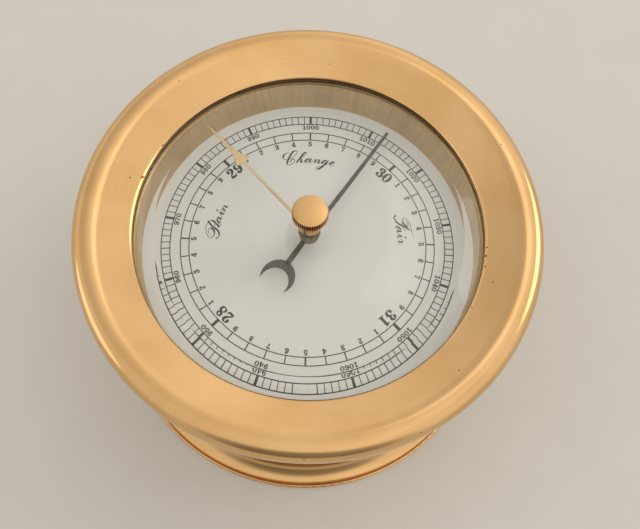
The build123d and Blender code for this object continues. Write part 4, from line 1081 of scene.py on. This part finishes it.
@dataclass
class DialPrint:
    """The print on the dial: two pressure scales, their numbers and the weather words.

    Radii are from the axis and all sizes are in millimetres. Azimuths run clockwise from the top.
    """

    finishes: Finishes
    film: float = 0.03
    sink: float = 0.01
    shift: float = -0.27
    millibar_outer: float = 44.92
    millibar_inner: float = 42.38
    millibar_step: float = 2.7
    millibar_reach: int = 65
    inch_outer: float = 39.34
    inch_inner: float = 36.87
    inch_step: float = 9.0
    ring_line: float = 0.29
    small_height: float = 1.45
    small_radius: float = 40.55
    digit_height: float = 1.6
    digit_radius: float = 34.75
    big_height: float = 3.3
    big_radius: float = 32.95
    millibar_stretch: float = 1.38
    digit_stretch: float = 1.2
    weight: float = 1.46
    least_stroke: float = 0.245
    letter_gap: float = 1.045
    word_height: float = 4.0
    hairline: float = 0.042
    downstroke: float = 0.142
    digit_advance: float = 0.70
    digit_middle: float = 0.31
    ball_sides: int = 14
    millibar_bars: tuple[float, float, float] = (0.8, 0.3, 0.25)
    inch_bars: tuple[float, float, float] = (0.95, 0.5, 0.36)
    words: tuple[tuple[str, float, float, float], ...] = (
        ("Change", -15.2, 29.2, 0.0), ("Rain", -81.9, 28.7, -0.2), ("Fair", 76.1, 28.7, -0.2)
    )

    def level(self) -> tuple[float, float]:
        """Underside and top of the ink film, a hair into the enamel and proud of it."""
        top = extent("dial_plate").high
        return top - self.sink, top + self.film

    def circle(self, radius: float) -> Surface:
        """A printed ring line about the axis."""
        low, high = self.level()
        half = self.ring_line / 2
        return turned(np.array(flat_ring(radius - half, radius + half, low, high)))

    def ticks(self, azimuths: np.ndarray, widths: np.ndarray, inner: float, outer: float) -> Surface:
        """Radial bars: each runs from the inner to the outer radius with straight sides.

        A bar's corner is its end point plus or minus half its width along the tangent.

        Args:
            azimuths: direction of each bar, in degrees.
            widths: width of each bar.
            inner: radius where the bars start.
            outer: radius where they end.

        Returns:
            All bars as one surface.
        """
        low, high = self.level()
        angle = np.radians(azimuths)
        out = np.stack([np.sin(angle), np.cos(angle)], -1)
        side = np.stack([np.cos(angle), -np.sin(angle)], -1) * widths[:, None] / 2
        a, b = out * inner - side, out * inner + side
        c, d = out * outer + side, out * outer - side
        flat = np.stack([a, b, c, d], 1)
        floor = np.concatenate([flat, np.full((*flat.shape[:2], 1), low)], -1)
        roof = np.concatenate([flat, np.full((*flat.shape[:2], 1), high)], -1)
        points = np.concatenate([floor, roof], 1).reshape(-1, 3)
        box = np.array(
            [(0, 3, 2, 1), (4, 5, 6, 7), (0, 1, 5, 4), (1, 2, 6, 5), (2, 3, 7, 6), (3, 0, 4, 7)]
        )
        faces = (box[None] + 8 * np.arange(len(angle))[:, None, None]).reshape(-1, 4)
        return Surface(points, [faces]).outward()

    def on_dial(self, surface: Surface, azimuth: float, radius: float) -> Surface:
        """Moves a glyph drawn about the origin out to a radius, its top outwards, and turns it."""
        return Surface(surface.points + np.array([0.0, radius, 0.0]), surface.faces).turned_by(azimuth)

    def stroke(self, kind: str, knots: np.ndarray) -> Surface:
        """One stroke of a digit, already in millimetres.

        Args:
            kind: "o" closed, "s" smooth, "l" straight or "b" a ball.
            knots: x, y and width of each knot.

        Returns:
            The solid stroke.
        """
        low, high = self.level()
        if kind == "b":
            x, y, size = knots[0]
            turn = np.arange(self.ball_sides)[:, None] * math.tau / self.ball_sides
            ring = np.hstack([x + size / 4 * np.cos(turn), y + size / 4 * np.sin(turn)])
            return ribbon(ring, np.full(self.ball_sides, size / 2), low, high, closed=True)
        line = knots if kind == "l" else smooth_line(knots, closed=kind == "o", steps=4)
        return ribbon(line[:, :2], line[:, 2], low, high, closed=kind == "o")

    def number(
        self, text: str, azimuth: float, radius: float, height: float, stretch: float
    ) -> list[Surface]:
        """A number set across its radius, digit by digit round the circle.

        Args:
            text: the digits.
            azimuth: direction of the number's middle.
            radius: radius of its foot.
            height: height of its digits.
            stretch: width of its digits, as a multiple of the plain width.

        Returns:
            The strokes in place.
        """
        scale = np.array([stretch, 1.0, self.weight]) * height
        width = self.digit_advance * height * stretch
        strokes = []
        for i, digit in enumerate(text):
            along = (i - (len(text) - 1) / 2) * width
            turn = azimuth + math.degrees(along / (radius + height / 2))
            for kind, knots in DIGITS[digit]:
                placed = (np.array(knots) - (self.digit_middle, 0, 0)) * scale
                placed[:, 2] = np.maximum(placed[:, 2], self.least_stroke)
                shape = self.stroke(kind, placed)
                strokes.append(self.on_dial(shape, turn, radius))
        return strokes

    def pen(self, knots: np.ndarray, height: float) -> Surface:
        """A pen stroke: a hairline that swells where it heads down the slant.

        The width is the hairline plus the swell times the square of how far the direction
        agrees with the slant, where it does, and it tapers in at both ends.

        Args:
            knots: x and y of each knot, in word heights.
            height: word height.

        Returns:
            The solid stroke.
        """
        low, high = self.level()
        line = smooth_line(knots, closed=False, steps=7)
        along = np.gradient(line, axis=0)
        along /= np.linalg.norm(along, axis=1, keepdims=True)
        press = np.clip(along @ np.array([-0.6, -0.8]), 0, 1) ** 2
        run = np.linspace(0, 1, len(line))
        taper = np.clip(np.minimum(run, 1 - run) * 12, 0.45, 1)
        width = (self.hairline + (self.downstroke - self.hairline) * press) * taper
        return ribbon(line * height, width * height, low, high, closed=False)

    def word(self, text: str, start: float, radius: float, lean: float) -> list[Surface]:
        """A script word along the circle, its letters joined.

        Args:
            text: the letters.
            start: direction of the first letter's foot.
            radius: radius of the line that the letters stand on.
            lean: extra slant of the small letters, as x for each y.

        Returns:
            The strokes in place.
        """
        strokes, along = [], 0.0
        for letter in text:
            slant = lean if letter.islower() else 0.0
            turn = start + math.degrees(along * self.word_height / radius)
            for knots in SCRIPT[letter]:
                slanted = in_place(letter, knots) @ np.array([[1.0, 0.0], [slant, 1.0]])
                shape = self.pen(slanted, self.word_height)
                strokes.append(self.on_dial(shape, turn, radius))
            for ball in SCRIPT_BALLS.get(letter, ()):
                x, y, size = in_place(letter, (ball,))[0]
                knot = np.array([(x + slant * y, y, size)]) * self.word_height
                strokes.append(self.on_dial(self.stroke("b", knot), turn, radius))
            along += SCRIPT_ADVANCE[letter] * self.letter_gap
        return strokes

    def stamp(self, name: str, parts: list[Surface]) -> None:
        """Makes one printed piece, which sits a hair off the axis as the whole print does."""
        move = np.array([self.shift, 0.0, 0.0])
        shifted = [Surface(part.points + move, part.faces) for part in parts]
        make_piece(name, shifted, self.finishes.ink, Body.CASE)

    def build(self) -> None:
        """Prints the scales, the numbers and the words."""
        reach = np.arange(-self.millibar_reach, self.millibar_reach + 1)
        ten, five, one = self.millibar_bars
        width = np.where(reach % 10 == 0, ten, np.where(reach % 5 == 0, five, one))
        tenth = np.arange(40)
        whole, half, small = self.inch_bars
        inch_width = np.where(tenth % 10 == 5, whole, np.where(tenth % 10 == 0, half, small))
        outer, inner = self.millibar_outer, self.millibar_inner
        scales = [self.circle(radius) for radius in (outer, inner, self.inch_outer, self.inch_inner)]
        scales.append(self.ticks(reach * self.millibar_step, width, inner, outer))
        scales.append(self.ticks(tenth * self.inch_step, inch_width, self.inch_inner, self.inch_outer))
        self.stamp("dial_scales", scales)
        numbers = []
        for value in range(940, 1061, 10):
            azimuth = (value - 1000) * self.millibar_step
            numbers += self.number(
                str(value), azimuth, self.small_radius, self.small_height, self.millibar_stretch
            )
        for k in range(40):
            tenths = (295 + k) if k <= 20 else (255 + k)
            whole, part = divmod(tenths, 10)
            text, radius, height = (
                (str(part), self.digit_radius, self.digit_height) if part
                else (str(whole), self.big_radius, self.big_height)
            )
            numbers += self.number(text, k * self.inch_step, radius, height, self.digit_stretch)
        self.stamp("dial_numbers", numbers)
        self.stamp("dial_words", [stroke for row in self.words for stroke in self.word(*row)])


# ---- Hands ----
@dataclass
class SetHand:
    """The gilt set hand with its boss, and the knurled knob that turns it."""

    finishes: Finishes
    angle: float = -43.0
    length: float = 48.7
    thickness: float = 0.3
    bevel: float = 0.16
    boss: float = 2.6
    shaft: float = 1.5
    knob_radius: float = 5.4
    knob_height: float = 3.6
    collar_radius: float = 3.5
    collar_foot: float = 3.7
    collar_height: float = 6.1
    ridges: int = 44
    ridge_depth: float = 0.6
    edge: float = 0.3
    dome: float = 0.16
    flange: float = 2.95
    flange_thickness: float = 0.3
    neck: float = 2.55
    bore: float = 1.55

    def needle(self) -> Surface:
        """The needle: a slim shaft, a concave-sided arrow head and a fine point."""
        room = extent("set_hand")
        top = room.high
        y = np.array(
            [0.0, 10.0, 20.0, 29.6, 30.4, 30.9, 31.2, 31.5, 32.1, 33.0, 34.5, 36.0, 37.5, 39.0, 42.0,
             45.0, 48.0, self.length]
        )
        half = np.array(
            [0.56, 0.48, 0.43, 0.38, 0.5, 1.5, 2.25, 2.5, 2.2, 1.72, 1.15, 0.78, 0.6, 0.5, 0.42,
             0.34, 0.22, 0.06]
        )
        low = top - self.thickness
        return blade(y, half, low, top, self.bevel).turned_by(self.angle)

    def build(self) -> None:
        """Makes the hand and the knob."""
        room = extent("set_hand")
        low = room.high - self.thickness
        disc = softened(flat_ring(self.shaft, self.boss, low, room.high), self.bevel, 2)
        boss = softened(flat_ring(self.shaft, self.boss, room.low, low), self.bevel, 2)
        make_piece(
            "set_hand_gilt", [self.needle(), turned(disc, 64), turned(boss, 64)],
            self.finishes.slots["gilt_brass"], Body.SET_HAND, ("set_hand",),
        )
        make_piece(
            "set_knob_knurled", [self.knob()], self.finishes.slots["knob_brass"], Body.SET_HAND,
            ("set_knob",),
        )
        bush = extent("set_bush")
        thin = bush.low + self.flange_thickness
        outline = [(self.bore, bush.low), (self.flange, bush.low), (self.flange, thin)]
        outline += [(self.neck, thin), (self.neck, bush.high), (self.bore, bush.high)]
        make_piece(
            "set_hand_bush", [turned(softened(outline, 0.06), 96)], self.finishes.bush, Body.BEZEL,
            ("set_bush",),
        )

    def knob(self) -> Surface:
        """The knob: domed top, knurled head, grooved collar and shaft, turned in one.

        Round the head the radius falls in straight-sided valleys, by the ridge depth times
        |2 u - 1| where u runs from 0 to 1 over a ridge, and the knurl fades over the edges.
        """
        room = extent("set_knob")
        foot = room.high - self.knob_height
        collar_foot = foot - self.collar_height
        shoulder = room.high - self.dome
        radius, edge, collar = self.knob_radius, self.edge, self.collar_radius
        middle = (collar_foot + foot) / 2
        rows = np.array(
            [(0.0, room.low, 0), (self.shaft, room.low, 0), (self.shaft, collar_foot, 0)]
            + [(self.collar_foot - 0.12, collar_foot, 0), (self.collar_foot, collar_foot + 0.12, 0)]
            + [(self.collar_foot, middle - 0.34, 0), (collar - 0.06, middle - 0.27, 0)]
            + [(collar - 0.25, middle - 0.2, 0), (collar - 0.25, middle + 0.2, 0)]
            + [(collar - 0.06, middle + 0.27, 0), (collar, middle + 0.34, 0), (collar, foot, 0)]
            + [(radius - edge, foot, 0.5), (radius - 0.1, foot + 0.12, 0.9)]
            + [(radius, foot + edge, 1), (radius, (foot + shoulder) / 2, 1)]
            + [(radius, shoulder - edge, 1), (radius - 0.06, shoulder - 0.1, 0.8)]
            + [(radius - 0.2, shoulder - 0.02, 0.35), (radius - 0.35, shoulder, 0)]
            + [(radius * 0.8, room.high - self.dome * 0.64, 0)]
            + [(radius * 0.6, room.high - self.dome * 0.36, 0)]
            + [(radius * 0.35, room.high - self.dome * 0.12, 0)]
            + [(radius * 0.15, room.high - self.dome * 0.02, 0)] + [(0.0, room.high, 0)]
        )
        segments = self.ridges * 8
        angle = np.arange(segments) * math.tau / segments
        valley = self.ridge_depth * np.abs((self.ridges * angle / math.tau % 1) * 2 - 1)
        return turned(rows[:, :2], segments, -valley[:, None] * rows[None, :, 2])


@dataclass
class IndicatorHand:
    """The blackened pointer with its crescent tail, and the cup-shaped hub over it."""

    finishes: Finishes
    angle: float = 33.6
    length: float = 44.5
    root: float = 0.88
    tip: float = 0.46
    stem: float = 0.92
    bevel: float = 0.12
    foot: float = 2.9
    arbor: float = 1.0
    crescent_centre: float = 17.1
    crescent_radius: float = 5.35
    bite_centre: float = 19.1
    bite_radius: float = 4.45
    hub_radius: float = 3.9
    hub_drop: float = 1.75
    cup_depth: float = 0.8
    collar: float = 1.75
    collar_low: float = 0.1
    collar_high: float = 1.2

    def crescent(self, low: float, high: float) -> Surface:
        """The crescent between an outer circle and the smaller circle bitten out of it.

        Both arcs run from horn to horn; section t joins the outer arc's point at t times its
        half angle to the inner arc's point at t times its own.

        Args:
            low: height of the underside.
            high: height of the top.

        Returns:
            The solid crescent.
        """
        gap = self.bite_centre - self.crescent_centre
        big, small = self.crescent_radius, self.bite_radius
        reach = (gap**2 + big**2 - small**2) / (2 * gap)
        horn = math.sqrt(big**2 - reach**2)
        outer_half = math.pi - math.atan2(horn, reach)
        inner_half = math.pi - math.atan2(horn, reach - gap)
        t = np.linspace(-0.985, 0.985, 61)
        outer = np.stack(
            [big * np.sin(outer_half * t), big * np.cos(outer_half * t) - self.crescent_centre], -1
        )
        inner = np.stack(
            [small * np.sin(inner_half * t), small * np.cos(inner_half * t) - self.bite_centre], -1
        )
        across = inner - outer
        thick = np.linalg.norm(across, axis=1, keepdims=True)
        step = across / thick * np.minimum(self.bevel, thick * 0.3)
        path = [outer, outer, outer + step, inner - step, inner, inner]
        levels = [low, high - self.bevel, high, high, high - self.bevel, low]
        ring = [np.hstack([line, np.full((len(t), 1), z)]) for line, z in zip(path, levels)]
        return tube(np.stack(ring, 1), closed=False)

    def build(self) -> None:
        """Makes the pointer and the hub."""
        room, hub = extent("indicator_hand"), extent("hand_hub")
        low, high = room.low, room.high
        along = np.linspace(1.2, self.length, 30)
        half = self.root + (self.tip - self.root) * along / self.length
        along = np.append(along, self.length)
        half = np.append(half, self.tip * 0.8)
        along[-2] = self.length - 0.15
        stem_end = self.crescent_centre - self.crescent_radius + self.stem
        tail = np.linspace(-stem_end, -1.2, 12)
        eye = softened(flat_ring(self.arbor, self.foot, low, high), self.bevel)
        parts = [
            blade(along, half, low, high, self.bevel),
            blade(tail, np.full(12, self.stem), low, high, self.bevel), self.crescent(low, high),
            turned(eye, 64),
        ]
        make_piece(
            "indicator_pointer", [part.turned_by(self.angle) for part in parts],
            self.finishes.slots["black_steel"], Body.INDICATOR, ("indicator_hand",),
        )
        under = low - self.hub_drop
        outline = [
            (self.arbor, under), *arc(self.hub_radius - self.hub_drop, low, self.hub_drop, 180, 90, 8),
            (self.hub_radius, hub.high), (self.foot, hub.high), (self.foot, hub.high - self.cup_depth),
            (self.arbor, hub.high - self.cup_depth),
        ]
        make_piece(
            "indicator_hub", [turned(softened(outline, 0.2), 96)], self.finishes.hub, Body.INDICATOR,
            ("hand_hub",),
        )
        dial = extent("dial_plate").high
        ring = flat_ring(self.arbor, self.collar, dial + self.collar_low, dial + self.collar_high)
        make_piece(
            "arbor_collar", [turned(softened(ring, 0.15), 64)], self.finishes.slots["arbor_copper"],
            Body.INDICATOR,
        )


# ---- Studio ----
@dataclass
class Studio:
    """Pale floor, soft lights and the camera, in metres."""

    eye: tuple[float, float, float] = (-0.00236, -0.09966, 0.28913)
    right: tuple[float, float, float] = (0.9994, 0.0142, 0.0322)
    down: tuple[float, float, float] = (0.0253, -0.9257, -0.3775)
    ahead: tuple[float, float, float] = (0.0244, 0.3781, -0.9255)
    lens: float = 44.163
    floor_size: float = 4.0
    target: tuple[float, float, float] = (0.0, 0.0, 0.05)
    dim_corner: tuple[float, float, float] = (-0.3, 0.5, 0.81)
    dark_front: tuple[float, float, float] = (0.0, -0.95, 0.3)
    band_place: float = 0.2
    lamps: tuple[tuple[str, tuple[float, float, float], float, float, str], ...] = (
        ("window", (0.95, 0.35, 0.70), 0.7, 2.0, "FFF8EE"),
        ("ceiling_glow", (0.07, 0.165, 0.43), 0.10, 0.013, "FFFAF2"),
        ("left_fill", (-0.95, -0.1, 0.35), 0.6, 0.6, "F8FAFF"),
    )

    def camera(self) -> None:
        """Sets the camera: its axes are the columns of its matrix, and it looks along ahead."""
        data = bpy.data.cameras.new("camera")
        data.lens, data.sensor_width = self.lens, 36.0
        data.clip_start, data.clip_end = 0.01, 20.0
        camera = bpy.data.objects.new("camera", data)
        columns = [Vector(self.right), -Vector(self.down), -Vector(self.ahead)]
        matrix = Matrix(columns).transposed().to_4x4()
        matrix.translation = Vector(self.eye)
        camera.matrix_world = matrix
        bpy.context.scene.collection.objects.link(camera)
        bpy.context.scene.camera = camera

    def floor(self) -> None:
        """Lays a pale floor under the object."""
        half = self.floor_size / 2
        mesh = bpy.data.meshes.new("pale_floor")
        mesh.from_pydata(
            [(-half, -half, 0), (half, -half, 0), (half, half, 0), (-half, half, 0)], [], [(0, 1, 2, 3)],
        )
        mesh.materials.append(Coating("matt_pale_board", "D9D7D2", "D3D1CB", 0.75, 1.2, 0.02).build())
        floor = bpy.data.objects.new("pale_floor", mesh)
        bpy.context.scene.collection.objects.link(floor)

    def light(
        self, name: str, place: tuple[float, float, float], size: float, power: float, tint: str
    ) -> None:
        """Adds a round soft light that faces the object.

        Args:
            name: its name.
            place: where it stands.
            size: its diameter.
            power: its strength in watts.
            tint: its colour.
        """
        data = bpy.data.lights.new(name, "AREA")
        data.shape, data.size, data.energy = "DISK", size, power
        data.color = linear(tint)[:3]
        lamp = bpy.data.objects.new(name, data)
        lamp.location = place
        aim = Vector(self.target) - Vector(place)
        lamp.rotation_euler = aim.to_track_quat("-Z", "Y").to_euler()
        bpy.context.scene.collection.objects.link(lamp)

    def surroundings(self) -> None:
        """Fills the room with soft light: dimmer at the left, a bright band, dark low in front.

        Its strength is (left x corner + band) x rise x front, each a ramp of the direction.
        """
        world = bpy.data.worlds.new("soft_room")
        world.use_nodes = True
        tree = world.node_tree
        tree.nodes.clear()
        direction = add(tree, "TexCoord", {}, "Generated")
        x, _, z = add(tree, "SeparateXYZ", {0: direction}).node.outputs
        to_corner, to_front = [
            add(tree, "VectorMath", {0: direction, 1: way}, "Value", operation="DOT_PRODUCT")
            for way in (self.dim_corner, self.dark_front)
        ]
        away = add(tree, "Math", {0: x, 1: self.band_place}, operation="SUBTRACT")
        gap = add(tree, "Math", {0: away}, operation="ABSOLUTE")
        left, corner, band, front = [
            add(tree, "MapRange", {"Value": value, 1: start, 2: end, 3: first, 4: last}, **SOFT)
            for value, start, end, first, last in (
                (x, -0.35, 0.1, 0.84, 0.96), (to_corner, 0.90, 0.995, 1.0, 0.75),
                (gap, 0.0, 0.18, 0.12, 0.0), (to_front, 0.72, 0.97, 1.0, 0.3),
            )
        ]
        rise = add(tree, "MapRange", {"Value": z, 1: 0.0, 2: 0.5, 3: 0.8, 4: 1.0})
        strength = add(tree, "Math", {0: left, 1: corner}, operation="MULTIPLY")
        strength = add(tree, "Math", {0: strength, 1: band}, operation="ADD")
        for part in (rise, front):
            strength = add(tree, "Math", {0: strength, 1: part}, operation="MULTIPLY")
        fill = add(tree, "Background", {"Color": linear("FFFAF2"), "Strength": strength})
        add(tree, "OutputWorld", {"Surface": fill})
        bpy.context.scene.world = world

    def build(self) -> None:
        """Sets up everything round the object."""
        self.camera()
        self.floor()
        self.surroundings()
        for lamp in self.lamps:
            self.light(*lamp)
        bpy.context.scene.view_settings.view_transform = "Standard"


def corners(box: tuple[Vector, Vector]) -> list[list[float]]:
    """A box's two corners as plain lists."""
    return [[float(value) for value in corner] for corner in box]


def main() -> None:
    """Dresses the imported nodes, builds the new pieces and sets up the studio."""
    logging.basicConfig(level=logging.INFO, format="%(name)s: %(message)s")
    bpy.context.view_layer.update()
    finishes = Finishes()
    finishes.dress_nodes()
    for assembly in (
        BezelRing(finishes), Window(finishes), InnerWall(finishes), DialPrint(finishes),
        SetHand(finishes), IndicatorHand(finishes), Studio(),
    ):
        assembly.build()
        log.info("%s is built", type(assembly).__name__)
    bpy.context.view_layer.update()


if __name__ == "__main__":
    main()
